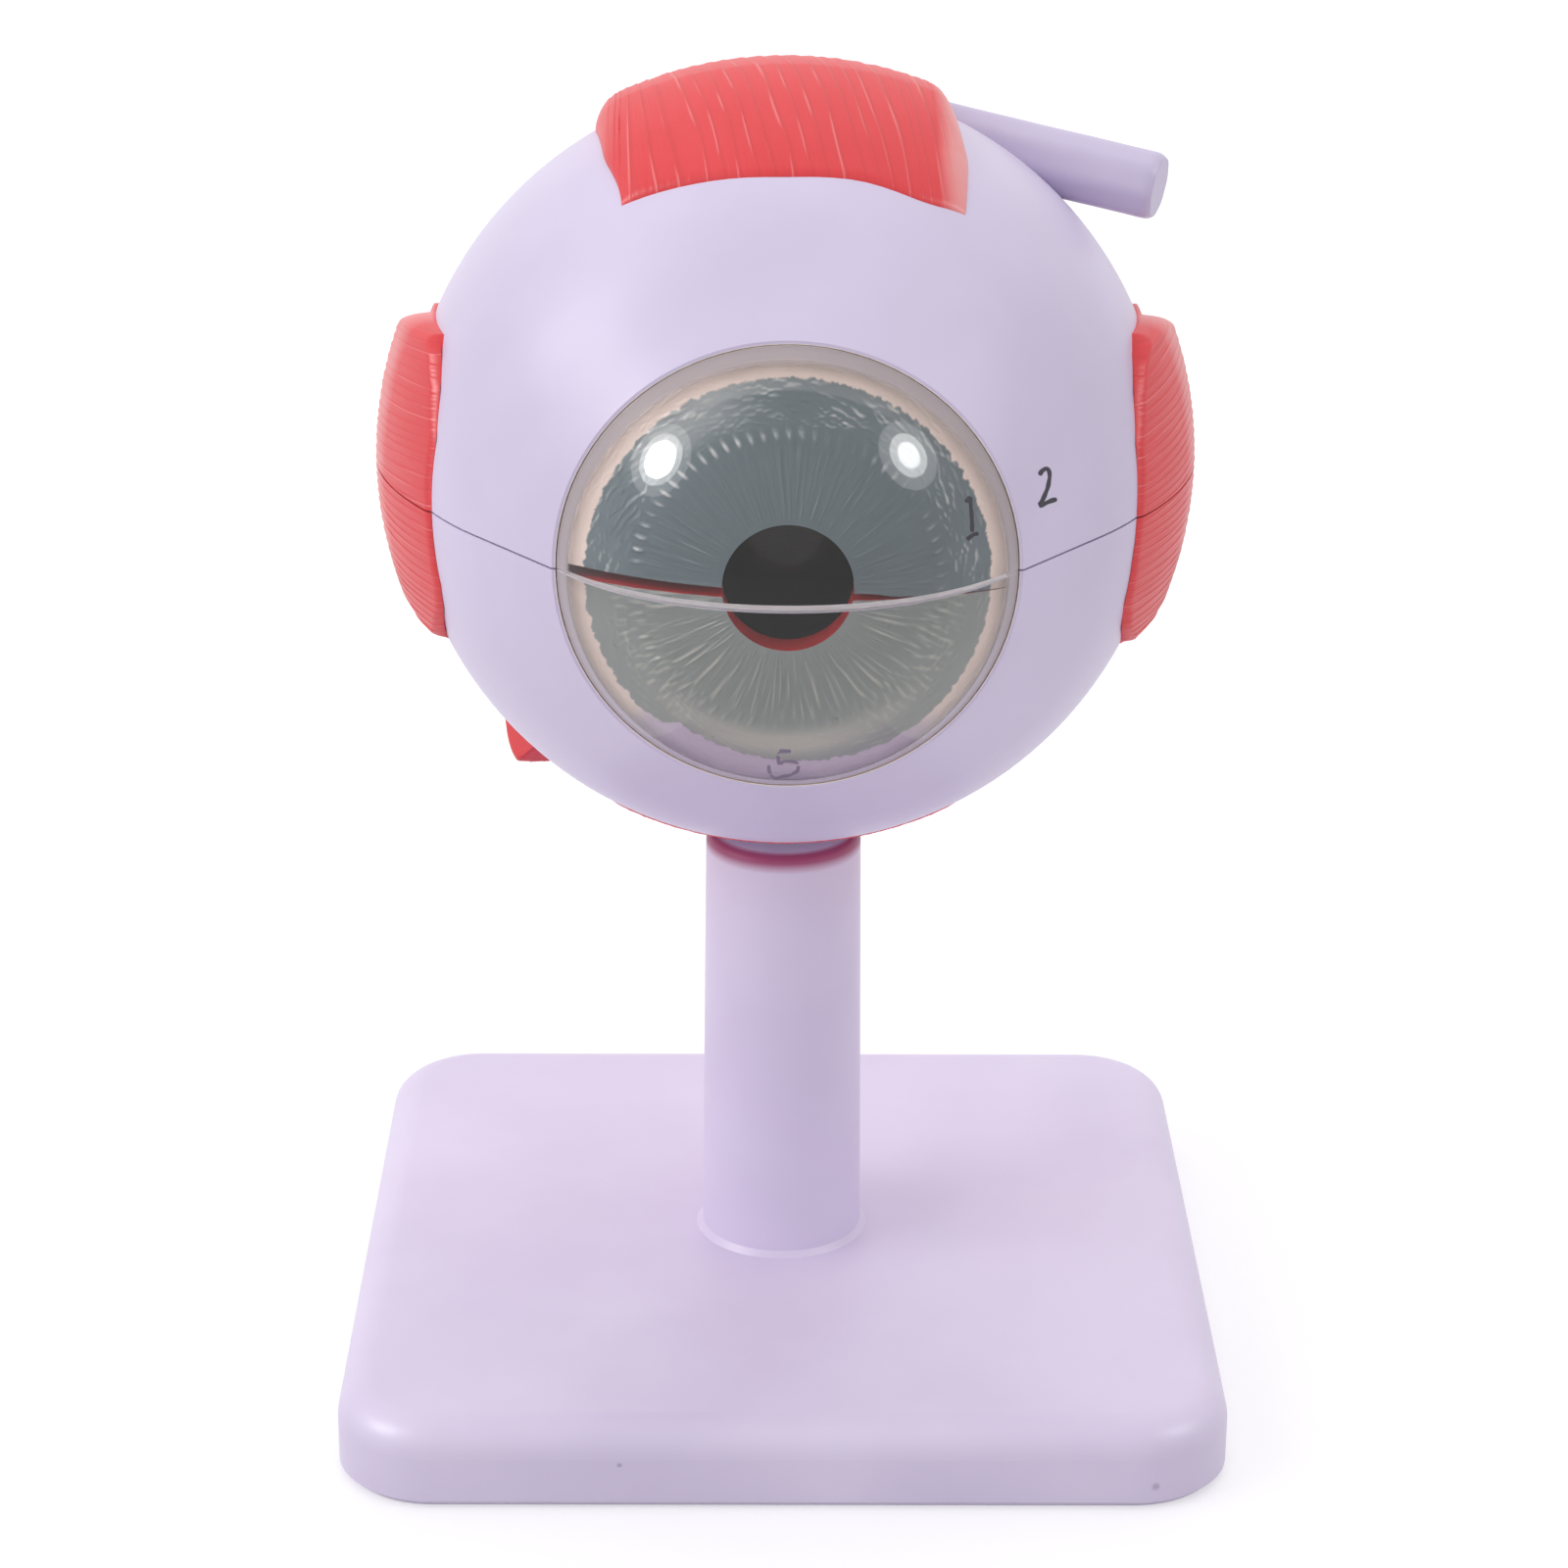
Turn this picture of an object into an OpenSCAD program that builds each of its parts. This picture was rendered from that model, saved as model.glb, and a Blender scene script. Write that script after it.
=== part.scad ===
// Take-apart eyeball model, three times life size, on a square stand.
// The eye looks along -Y, its split plane is level, and the base stands on Z = 0.

/* [Stand] */
// Width of the base plate, side to side
base_w = 90; // [80:1:110]
// Depth of the base plate, front to back
base_d = 90; // [80:1:110]
// Thickness of the base plate
base_h = 9; // [7:0.5:14]
// Corner radius of the base plate, seen from above
base_corner_r = 10; // [6:0.5:16]
// Rounding of the base plate's top edge
base_edge_r = 3.5; // [1.5:0.25:4.5]
// Chamfer of the base plate's bottom edge
base_chamfer = 0.8; // [0.4:0.1:1.5]
// Radius of the post at its foot
post_foot_r = 8.55; // [7.5:0.05:10]
// Radius of the post at its top
post_top_r = 8.1; // [7:0.05:9]
// Height of the post above the base plate
post_h = 46; // [30:1:70]
// Rounding of the post's top edge
post_edge_r = 1.2; // [0.6:0.1:2]
// Depth of the glued socket for the post in the base plate
socket_depth = 4.5; // [3:0.5:5.5]
// Radius of the spigot under the post
spigot_r = 6.5; // [5:0.1:7]
// Width of the bead of glue round the foot of the post
bead = 0.6; // [0.2:0.1:1]

/* [Pin] */
// Radius of the pin that carries the ball
pin_r = 3.4; // [2.8:0.1:4]
// Wall of the boss round the pin inside the ball
pin_boss_wall = 2.1; // [1.6:0.1:2.4]
// Radius of the collar on which the ball rests
pin_collar_r = 4.2; // [4.1:0.1:5]
// Height of the collar between post and ball
pin_collar_h = 1.6; // [1:0.1:3]
// Depth of the pin in the post
pin_depth = 14; // [8:0.5:20]
// Depth of the pin in the ball
pin_in_ball = 4.2; // [3:0.1:4.4]
// Running clearance of the pin, on the radius
pin_play = 0.06; // [0.02:0.01:0.1]

/* [Sclera] */
// Outer radius of the ball
ball_r = 38.4; // [36:0.1:42]
// Wall of the outer shell
shell_t = 2.4; // [2:0.1:3]
// How far the cornea's rim lies behind the front of the ball's sphere
rim_setback = 4.4; // [4.4:0.1:5.6]
// Radius of the cornea's rim
rim_r = 21.75; // [20.5:0.05:22.5]
// Width of the step on which the cornea is seated
seat_w = 1.35; // [1:0.05:1.8]
// Depth of that step behind the rim
seat_d = 1.9; // [1.2:0.1:2.4]
// Width of the shell's edge outside the cornea
rim_edge = 0.35; // [0.2:0.05:0.6]
// Gap between the upper and the lower half of the shell
split_gap = 0.2; // [0.1:0.02:0.4]
// Height of the lip that centres the upper shell on the lower one
lip_h = 1.5; // [0.8:0.1:2.5]
// Wall of that lip
lip_t = 1.1; // [0.8:0.05:1.3]
// Clearance round the lip
lip_play = 0.12; // [0.05:0.01:0.25]
// Clearance between nested round pieces
nest_gap = 0.3; // [0.2:0.05:0.5]

/* [Cornea] */
// Height of the cornea's dome above its rim
cornea_rise = 12.3; // [10:0.1:13.5]
// Wall of the cornea at its apex
cornea_apex_t = 2.3; // [1.2:0.1:2.8]
// Wall of the cornea at its foot
cornea_foot_t = 1.1; // [0.9:0.05:1.3]
// Glue gap round the cornea's foot
cornea_glue = 0.12; // [0.05:0.01:0.2]

/* [Choroid and iris] */
// Wall of the choroid shell
choroid_t = 3; // [2.4:0.1:3.4]
// Distance of the iris's seat behind the cornea's rim
iris_setback = 5.2; // [4.8:0.1:5.6]
// Height of the iris dome over the choroid's sphere
iris_bulge = 3.8; // [3.2:0.1:4.2]
// Wall of the iris
iris_t = 3; // [2:0.1:3.4]
// Radius of the pupil
pupil_r = 5.9; // [4:0.05:8]
// How far the lower inner half sits below the split plane
inner_drop = 1; // [0.4:0.1:1.5]
// Turn of the loose lower inner half about the optical axis, in degrees
inner_turn_lower = 1.5; // [0:0.1:2]
// Turn of the loose upper inner half about the optical axis, in degrees
inner_turn_upper = 2.6; // [2:0.1:3.2]
// Gap where the two inner halves meet
inner_gap = 0.06; // [0.04:0.01:0.2]

/* [Ciliary body] */
// Count of the folds of the ciliary body
fold_count = 60; // [24:2:80]
// How far the tips of the folds reach in past the choroid's opening
fold_reach = 0.3; // [0.2:0.05:0.8]
// Depth of the folds
fold_depth = 2; // [1:0.1:2.4]
// Width of the ciliary body along the optical axis
ciliary_w = 4.2; // [3.6:0.1:4.4]
// Distance of the ciliary body behind the iris's seat
ciliary_setback = 0.4; // [0.2:0.1:0.8]

/* [Lens and vitreous] */
// Gap between the folds and the lens's edge
zonule_gap = 1.4; // [1:0.1:2]
// Radius of curvature of the lens's front
lens_front_r = 30; // [24:0.5:40]
// Radius of curvature of the lens's back
lens_back_r = 18.3; // [17:0.1:24]
// Thickness of the lens's edge
lens_edge = 1.2; // [0.8:0.1:1.6]
// Distance of the lens's edge behind the iris's seat
lens_setback = 3.8; // [3.4:0.1:4]

/* [Straight muscles] */
// Thickness of the upper and the lower muscle
tall_muscle_t = 2.4; // [2:0.1:3.4]
// Thickness of the two side muscles
side_muscle_t = 3.1; // [2:0.1:3.4]
// Thickness of the muscles at their front edge
muscle_front_t = 0.35; // [0.25:0.05:0.6]
// Width of the upper and the lower muscle
tall_muscle_w = 35; // [28:0.5:36]
// How far the upper muscle lies to the temporal side of the ball's centre
superior_shift = 0.6; // [0:0.1:2]
// Width of the two side muscles
side_muscle_w = 32; // [28:0.5:34]
// Angle of the upper muscle's front edge from the optical axis, in degrees
superior_front_angle = 62.8; // [58:0.1:68]
// Angle of the lower muscle's front edge from the optical axis, in degrees
inferior_front_angle = 65.6; // [58:0.1:68]
// Angle of the outer side muscle's front edge from the optical axis, in degrees
lateral_front_angle = 64.4; // [58:0.1:68]
// Angle of the inner side muscle's front edge from the optical axis, in degrees
medial_front_angle = 62.6; // [58:0.1:68]
// Angle of the muscles' back ends from the optical axis, in degrees
muscle_back_angle = 126; // [118:1:132]
// Rounding of the front corners of the side muscles
side_corner_r = 11; // [4:0.5:12]
// Rounding of the back corners of the side muscles
muscle_corner_r = 1.6; // [0.8:0.1:3]

/* [Oblique muscles] */
// Radius of the upper oblique muscle's tendon
tendon_r = 3.45; // [2.6:0.05:4]
// How far the tendon's free end stops short of the ball's nasal side
tendon_side_setback = 1.1; // [0:0.1:3]
// How far the tendon's free end lies behind the ball's centre
tendon_end_y = 5; // [2:0.1:8]
// How far the tendon's free end lies below the ball's top
tendon_top_drop = 11; // [9.5:0.1:13]
// Angle of the tendon seen from above, in degrees from straight right
tendon_swing_angle = -19.7; // [-26:0.1:-14]
// Angle at which the tendon falls towards its free end, in degrees
tendon_fall_angle = 8.7; // [5:0.1:12]
// Bevel round the tendon's end
tendon_bevel = 0.7; // [0.3:0.1:1.2]
// How far the tendon reaches under the upper muscle
tendon_under = 3.5; // [1:0.5:6]
// Thickness of the lower oblique muscle
oblique_t = 2.8; // [2:0.1:3.4]
// Width of the lower oblique muscle
oblique_w = 9.2; // [7:0.1:10]
// Length of the lower oblique muscle along the ball
oblique_len = 20; // [14:0.5:22]
// Azimuth of the lower oblique muscle's middle about the vertical, in degrees
oblique_azimuth = 158.8; // [150:0.2:166]
// Polar angle of its middle from straight up, in degrees
oblique_polar = 134.4; // [130:0.2:138]
// Twist of its long axis on the ball, in degrees
oblique_twist = 128.5; // [118:0.5:138]

/* [Optic nerve] */
// Radius of the nerve's sheath
nerve_sheath_r = 5.6; // [4.5:0.1:7]
// Radius of the nerve's core
nerve_core_r = 3.9; // [3:0.1:5]
// Length of the sheath behind the ball
nerve_sheath_len = 8; // [5:0.5:16]
// Length of the core past the sheath
nerve_core_len = 1.6; // [1:0.1:4]
// Turn of the nerve towards the nose, in degrees
nerve_turn = 14; // [8:0.5:20]

/* [Hidden] */
$fn = 96;
fine_fn = 240;

// Colours, as light falls on the moulded plastic
lavender = [0.86, 0.82, 0.92];
muscle_red = [0.90, 0.30, 0.31];
choroid_red = [0.72, 0.22, 0.22];
iris_grey = [0.45, 0.52, 0.54];
clear = [0.90, 0.93, 0.95, 0.35];
nerve_cream = [0.90, 0.84, 0.62];

eps = 0.01;
far = 4 * ball_r;
glue_gap = 0.05;
post_top_z = base_h + post_h;
// Flat spot under the ball, just wide enough for the collar
spot_r = pin_collar_r + 0.3;
spot_z = -sqrt(pow(ball_r, 2) - pow(spot_r, 2));
eye_z = post_top_z + pin_collar_h - spot_z;
rim_y = ball_r - rim_setback;
shell_inner_r = ball_r - shell_t;
sclera_bore_r = rim_r - seat_w;
choroid_r = shell_inner_r - nest_gap;
choroid_inner_r = choroid_r - choroid_t;
vitreous_r = choroid_inner_r - nest_gap;
pin_boss_r = pin_r + pin_boss_wall;
pin_boss_top = -choroid_inner_r - nest_gap;
pin_hole_top = spot_z + pin_in_ball + 0.1;
iris_seat_y = rim_y - iris_setback;
iris_r = choroid_r + iris_bulge;
iris_rim_r = sclera_bore_r - nest_gap;
cornea_r = rim_r - cornea_glue;
// The choroid's opening at the iris's seat sets the folds, and they set the lens
choroid_opening_r = sqrt(pow(choroid_inner_r, 2) - pow(iris_seat_y, 2));
fold_tip_r = choroid_opening_r - fold_reach;
ciliary_back_y = iris_seat_y - ciliary_setback - ciliary_w;
lens_r = fold_tip_r - zonule_gap;
lens_y = iris_seat_y - lens_setback;
vitreous_front = ciliary_back_y - 2 * nest_gap;
tendon_end_x = ball_r - tendon_side_setback;
tendon_end_z = ball_r - tendon_top_drop;
// The upper inner half rests on the lower one at its nasal side only
upper_cut_z = inner_gap - inner_drop
    + choroid_r * (tan(inner_turn_upper) - tan(inner_turn_lower));

// ---------------------------------------------------------------- helpers

// Radius of a sphere that passes through a rim of radius a with a rise h
function cap_r(a, h) = (a * a + h * h) / (2 * h);

module at_eye() {
    translate([0, 0, eye_z]) children();
}

// Turns a solid built along +Z so that it lies along the line of sight, -Y
module along_sight() {
    rotate([90, 0, 0]) children();
}

// Everything above the plane z = level (side = 1) or below it (side = -1)
module half_space(level, side) {
    translate([-far, -far, side > 0 ? level : level - far]) cube([2 * far, 2 * far, far]);
}

module upper_half() {
    intersection() {
        children();
        half_space(split_gap / 2, 1);
    }
}

module lower_half() {
    intersection() {
        children();
        half_space(-split_gap / 2, -1);
    }
}

// Everything further forward than the distance y ahead of the ball's centre
module ahead_of(y) {
    translate([-far, -y - far, -far]) cube([2 * far, far, 2 * far]);
}

// ------------------------------------------------------------------ stand

// Half section of the base plate's edge, from a corner's centre outwards
module base_edge_profile() {
    difference() {
        union() {
            square([base_corner_r - base_edge_r, base_h]);
            square([base_corner_r, base_h - base_edge_r]);
            intersection() {
                translate([base_corner_r - base_edge_r, base_h - base_edge_r]) circle(base_edge_r);
                square([base_corner_r, base_h]);
            }
        }
        polygon([
            [base_corner_r - base_chamfer, -eps],
            [base_corner_r + eps, -eps],
            [base_corner_r + eps, base_chamfer]
        ]);
    }
}

// The same section carried along a straight side of the given length
module base_side(length) {
    rotate([90, 0, 0]) linear_extrude(height = length, center = true) base_edge_profile();
}

module base_plate() {
    half_w = base_w / 2 - base_corner_r;
    half_d = base_d / 2 - base_corner_r;
    color(lavender) difference() {
        union() {
            for (x = [-1, 1], y = [-1, 1])
                translate([x * half_w, y * half_d, 0]) rotate_extrude() base_edge_profile();
            for (s = [0, 180]) rotate([0, 0, s]) translate([half_w, 0, 0]) base_side(2 * half_d);
            for (s = [90, 270]) rotate([0, 0, s]) translate([half_d, 0, 0]) base_side(2 * half_w);
            translate([-half_w, -half_d, 0]) cube([2 * half_w, 2 * half_d, base_h]);
        }
        translate([0, 0, base_h - socket_depth])
            cylinder(r = spigot_r + glue_gap, h = socket_depth + eps);
    }
}

module post() {
    taper = (post_foot_r - post_top_r) / post_h;
    round_z = post_top_z - post_edge_r;
    color(lavender) difference() {
        union() {
            translate([0, 0, base_h])
                cylinder(r1 = post_foot_r, r2 = post_top_r + taper * post_edge_r,
                         h = post_h - post_edge_r);
            translate([0, 0, round_z]) cylinder(r = post_top_r - post_edge_r, h = post_edge_r);
            translate([0, 0, round_z]) intersection() {
                rotate_extrude() translate([post_top_r - post_edge_r, 0]) circle(post_edge_r);
                cylinder(r = post_foot_r, h = post_edge_r);
            }
            translate([0, 0, base_h])
                cylinder(r1 = post_foot_r + bead, r2 = post_foot_r, h = bead);
            translate([0, 0, base_h - socket_depth + glue_gap])
                cylinder(r = spigot_r, h = socket_depth);
        }
        translate([0, 0, post_top_z - pin_depth - 1])
            cylinder(r = pin_r + pin_play, h = pin_depth + 1 + eps);
    }
}

module dowel_pin() {
    tip = 0.6;
    length = pin_depth + pin_collar_h + pin_in_ball;
    color("gainsboro") translate([0, 0, post_top_z - pin_depth]) {
        cylinder(r1 = pin_r - tip, r2 = pin_r, h = tip);
        translate([0, 0, tip]) cylinder(r = pin_r, h = length - 2 * tip);
        translate([0, 0, length - tip]) cylinder(r1 = pin_r, r2 = pin_r - tip, h = tip);
        translate([0, 0, pin_depth]) cylinder(r = pin_collar_r, h = pin_collar_h);
    }
}

// ----------------------------------------------------------------- sclera

// The ball with its front drawn out to the cornea's rim, in a straight line that
// leaves the sphere without a bend
module sclera_outside() {
    lip_r = rim_r + rim_edge;
    touch = atan2(lip_r, rim_y) + acos(ball_r / sqrt(pow(lip_r, 2) + pow(rim_y, 2)));
    along_sight() rotate_extrude() {
        intersection() {
            circle(ball_r);
            translate([0, -ball_r]) square([ball_r, ball_r * (1 + cos(touch))]);
        }
        polygon([
            [0, ball_r * cos(touch) - eps],
            [ball_r * sin(touch), ball_r * cos(touch)],
            [lip_r, rim_y],
            [0, rim_y]
        ]);
    }
}

module sclera_inside() {
    sphere(shell_inner_r);
    along_sight() cylinder(r = sclera_bore_r, h = far);
    along_sight() translate([0, 0, rim_y - seat_d]) cylinder(r = rim_r, h = far);
}

// Ring between two spheres round the split plane, without the stretch at the cornea
module lip_ring(r_in, r_out, top) {
    difference() {
        intersection() {
            sphere(r_out);
            translate([0, 0, -split_gap]) cylinder(r = ball_r, h = top + split_gap);
        }
        sphere(r_in);
        translate([-rim_r - 1, -far, -far / 2]) cube([2 * (rim_r + 1), far, far]);
    }
}

module lower_sclera() {
    color(lavender) at_eye() difference() {
        union() {
            lower_half() difference() {
                sclera_outside();
                sclera_inside();
                half_space(spot_z, -1);
            }
            lip_ring(shell_inner_r, shell_inner_r + lip_t, lip_h);
            translate([0, 0, spot_z]) cylinder(r = pin_boss_r, h = pin_boss_top - spot_z);
        }
        translate([0, 0, spot_z - 1])
            cylinder(r = pin_r + pin_play, h = pin_hole_top - spot_z + 1);
    }
}

module upper_sclera() {
    color(lavender) at_eye() difference() {
        upper_half() difference() {
            sclera_outside();
            sclera_inside();
        }
        lip_ring(0.5 * shell_inner_r, shell_inner_r + lip_t + lip_play, lip_h + lip_play);
    }
}

// ----------------------------------------------------------------- cornea

module cornea() {
    out_r = cap_r(cornea_r, cornea_rise);
    in_foot = cornea_r - cornea_foot_t;
    in_r = cap_r(in_foot, cornea_rise - cornea_apex_t);
    apex_y = rim_y + cornea_rise;
    color(clear) at_eye() along_sight() difference() {
        union() {
            intersection() {
                translate([0, 0, apex_y - out_r]) sphere(out_r);
                translate([0, 0, rim_y]) cylinder(r = cornea_r + 1, h = cornea_rise + 1);
            }
            translate([0, 0, rim_y - seat_d]) cylinder(r = cornea_r, h = seat_d);
        }
        intersection() {
            translate([0, 0, apex_y - cornea_apex_t - in_r]) sphere(in_r);
            translate([0, 0, rim_y - seat_d - 1]) cylinder(r = in_foot, h = far);
        }
    }
}

module halve_at_split(side) {
    intersection() {
        children();
        at_eye() half_space(side * split_gap / 2, side);
    }
}

module lower_cornea() {
    color(clear) halve_at_split(-1) cornea();
}

module upper_cornea() {
    color(clear) halve_at_split(1) cornea();
}

// ------------------------------------------------------- choroid and iris

// Keeps one inner half: side = 1 upper, -1 lower, turned as the loose halves sit
module inner_half(side) {
    turn = side > 0 ? inner_turn_upper : inner_turn_lower;
    level = side > 0 ? upper_cut_z : -inner_drop;
    at_eye() rotate([0, turn, 0]) intersection() {
        children();
        half_space(level * cos(turn), side);
    }
}

module choroid() {
    difference() {
        sphere(choroid_r);
        sphere(choroid_inner_r);
        ahead_of(iris_seat_y);
    }
}

module lower_choroid() {
    color(choroid_red) difference() {
        inner_half(-1) choroid();
        at_eye() translate([0, 0, -ball_r]) cylinder(r = pin_boss_r + nest_gap, h = ball_r / 2);
    }
}

module upper_choroid() {
    color(choroid_red) inner_half(1) choroid();
}

module iris() {
    along_sight() difference() {
        intersection() {
            sphere(iris_r);
            translate([0, 0, iris_seat_y]) cylinder(r = iris_rim_r, h = far);
        }
        intersection() {
            sphere(iris_r - iris_t);
            cylinder(r = iris_rim_r - iris_t, h = far);
        }
        cylinder(r = pupil_r, h = far);
    }
}

module lower_iris() {
    color(iris_grey) inner_half(-1) iris();
}

module upper_iris() {
    color(iris_grey) inner_half(1) iris();
}

// ---------------------------------------------------------- ciliary body

// Star of pointed folds round the lens
module fold_star() {
    polygon([for (i = [0 : 2 * fold_count - 1])
        let (r = i % 2 == 0 ? fold_tip_r : fold_tip_r + fold_depth, a = 180 * i / fold_count)
        [r * cos(a), r * sin(a)]]);
}

module ciliary_body() {
    intersection() {
        sphere(choroid_inner_r, $fn = fine_fn);
        along_sight() translate([0, 0, ciliary_back_y])
            linear_extrude(height = ciliary_w) difference() {
                circle(choroid_inner_r);
                fold_star();
            }
    }
}

module lower_ciliary() {
    color(choroid_red) inner_half(-1) ciliary_body();
}

module upper_ciliary() {
    color(choroid_red) inner_half(1) ciliary_body();
}

// ------------------------------------------------------ lens and vitreous

function sagitta(r, a) = r - sqrt(r * r - a * a);
lens_back_y = lens_y - lens_edge / 2 - sagitta(lens_back_r, lens_r);
lens_front_y = lens_y + lens_edge / 2 + sagitta(lens_front_r, lens_r);

module lens() {
    color(clear) at_eye() along_sight() intersection() {
        translate([0, 0, lens_back_y + lens_back_r]) sphere(lens_back_r);
        translate([0, 0, lens_front_y - lens_front_r]) sphere(lens_front_r);
        cylinder(r = lens_r, h = far);
    }
}

module vitreous_body() {
    color(clear) at_eye() along_sight() rotate_extrude() difference() {
        intersection() {
            circle(vitreous_r);
            translate([0, -vitreous_r]) square([vitreous_r, vitreous_r + vitreous_front]);
        }
        translate([0, lens_back_y + lens_back_r]) circle(lens_back_r + nest_gap);
    }
}

// --------------------------------------------------------------- muscles

// Rectangle of width w from y = front back to y = back, with rounded corners
module strip_outline(w, front, back, front_corner_r) {
    back_corner_r = muscle_corner_r;
    translate([-w / 2 + front_corner_r, front]) square([w - 2 * front_corner_r, back - front]);
    translate([-w / 2, front + front_corner_r])
        square([w, back - front - front_corner_r - back_corner_r]);
    for (s = [-1, 1]) {
        translate([s * (w / 2 - front_corner_r), front + front_corner_r]) circle(front_corner_r);
        translate([s * (w / 2 - back_corner_r), back - back_corner_r]) circle(back_corner_r);
    }
}

// Where a muscle starts, ahead of the ball's centre, and where it ends behind it
function muscle_front_y(front_angle) = (ball_r + muscle_front_t) * cos(front_angle);
function muscle_back_y(t) = -(ball_r + t) * cos(muscle_back_angle);

// Layer of thickness t on the ball that thins towards the front edge at the given
// angle: two arcs that meet at the equator, turned about the optical axis. It runs
// on by the given margin past the muscle's front edge and back end.
module muscle_layer(t, front_angle, margin) {
    muscle_r = ball_r + t;
    front_y = muscle_front_y(front_angle);
    back_shift = (pow(muscle_r, 2) - pow(ball_r + muscle_front_t, 2)) / (2 * front_y);
    thin_r = sqrt(pow(muscle_r, 2) + pow(back_shift, 2));
    back_y = muscle_back_y(t);
    along_sight() rotate_extrude() difference() {
        union() {
            intersection() {
                circle(muscle_r);
                translate([0, -back_y - margin]) square([muscle_r, back_y + margin]);
            }
            intersection() {
                translate([0, -back_shift]) circle(thin_r);
                square([muscle_r, front_y + margin]);
            }
        }
        circle(ball_r);
    }
}

// Straight muscle on top of the ball. The layer itself cuts its ends square, and the
// block cuts its sides.
module tall_muscle(front_angle, shift) {
    intersection() {
        muscle_layer(tall_muscle_t, front_angle, 0);
        translate([-shift - tall_muscle_w / 2, -ball_r, ball_r / 8])
            cube([tall_muscle_w, 2 * ball_r, 2 * ball_r]);
    }
}

module superior_rectus() {
    color(muscle_red) at_eye() difference() {
        tall_muscle(superior_front_angle, superior_shift);
        tendon_rod(nest_gap);
    }
}

module inferior_rectus() {
    color(muscle_red) at_eye() difference() {
        rotate([0, 180, 0]) tall_muscle(inferior_front_angle, 0);
        translate([0, 0, -far]) cylinder(r = post_top_r + 2 * nest_gap, h = far);
    }
}

// Half of a side muscle: side = 1 nasal, -1 temporal; half = 1 upper, -1 lower.
// The outline is cut flat, because its width stands upright on the side of the ball.
module side_muscle(side, half, front_angle) {
    at_eye() rotate([0, side * 90, 0]) intersection() {
        muscle_layer(side_muscle_t, front_angle, 1);
        translate([0, 0, ball_r / 8]) linear_extrude(height = far) intersection() {
            strip_outline(side_muscle_w, -muscle_front_y(front_angle),
                          muscle_back_y(side_muscle_t), side_corner_r);
            rotate([0, 0, side * half > 0 ? 180 : 0])
                translate([split_gap / 2, -far]) square([far, 2 * far]);
        }
    }
}

module lateral_rectus_lower() {
    color(muscle_red) side_muscle(-1, -1, lateral_front_angle);
}

module lateral_rectus_upper() {
    color(muscle_red) side_muscle(-1, 1, lateral_front_angle);
}

module medial_rectus_lower() {
    color(muscle_red) side_muscle(1, -1, medial_front_angle);
}

module medial_rectus_upper() {
    color(muscle_red) side_muscle(1, 1, medial_front_angle);
}

// Round tendon that runs from under the upper muscle to its free end
module tendon_rod(grow) {
    length = tendon_end_x - tall_muscle_w / 2 + superior_shift + tendon_under;
    translate([tendon_end_x, tendon_end_y, tendon_end_z])
        rotate([0, 0, tendon_swing_angle]) rotate([0, tendon_fall_angle - 90, 0]) {
            translate([0, 0, tendon_bevel])
                cylinder(r = tendon_r + grow, h = length / cos(tendon_swing_angle));
            cylinder(r1 = tendon_r + grow - tendon_bevel, r2 = tendon_r + grow, h = tendon_bevel);
        }
}

module superior_oblique() {
    color(lavender) at_eye() difference() {
        tendon_rod(0);
        sphere(ball_r);
    }
}

module inferior_oblique() {
    color(muscle_red) at_eye()
        rotate([0, 0, oblique_azimuth]) rotate([0, oblique_polar, 0]) rotate([0, 0, oblique_twist])
            intersection() {
                difference() {
                    sphere(ball_r + oblique_t);
                    sphere(ball_r);
                }
                linear_extrude(height = far)
                    strip_outline(oblique_w, -oblique_len / 2, oblique_len / 2, muscle_corner_r);
            }
}

// ------------------------------------------------------------ optic nerve

module optic_nerve() {
    reach = ball_r + nerve_sheath_len;
    at_eye() rotate([-90, 0, -nerve_turn]) difference() {
        union() {
            cylinder(r = nerve_sheath_r, h = reach);
            cylinder(r = nerve_core_r, h = reach + nerve_core_len);
        }
        sphere(ball_r);
    }
}

module optic_nerve_lower() {
    color(nerve_cream) halve_at_split(-1) optic_nerve();
}

module optic_nerve_upper() {
    color(nerve_cream) halve_at_split(1) optic_nerve();
}

base_plate();
post();
dowel_pin();
lower_sclera();
lower_cornea();
inferior_rectus();
lateral_rectus_lower();
medial_rectus_lower();
inferior_oblique();
optic_nerve_lower();
lower_choroid();
lower_iris();
lower_ciliary();
vitreous_body();
lens();
upper_choroid();
upper_iris();
upper_ciliary();
upper_sclera();
upper_cornea();
superior_rectus();
lateral_rectus_upper();
medial_rectus_upper();
superior_oblique();
optic_nerve_upper();
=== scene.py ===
import math

import bmesh
import bpy
import numpy as np
from mathutils import Matrix


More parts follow.
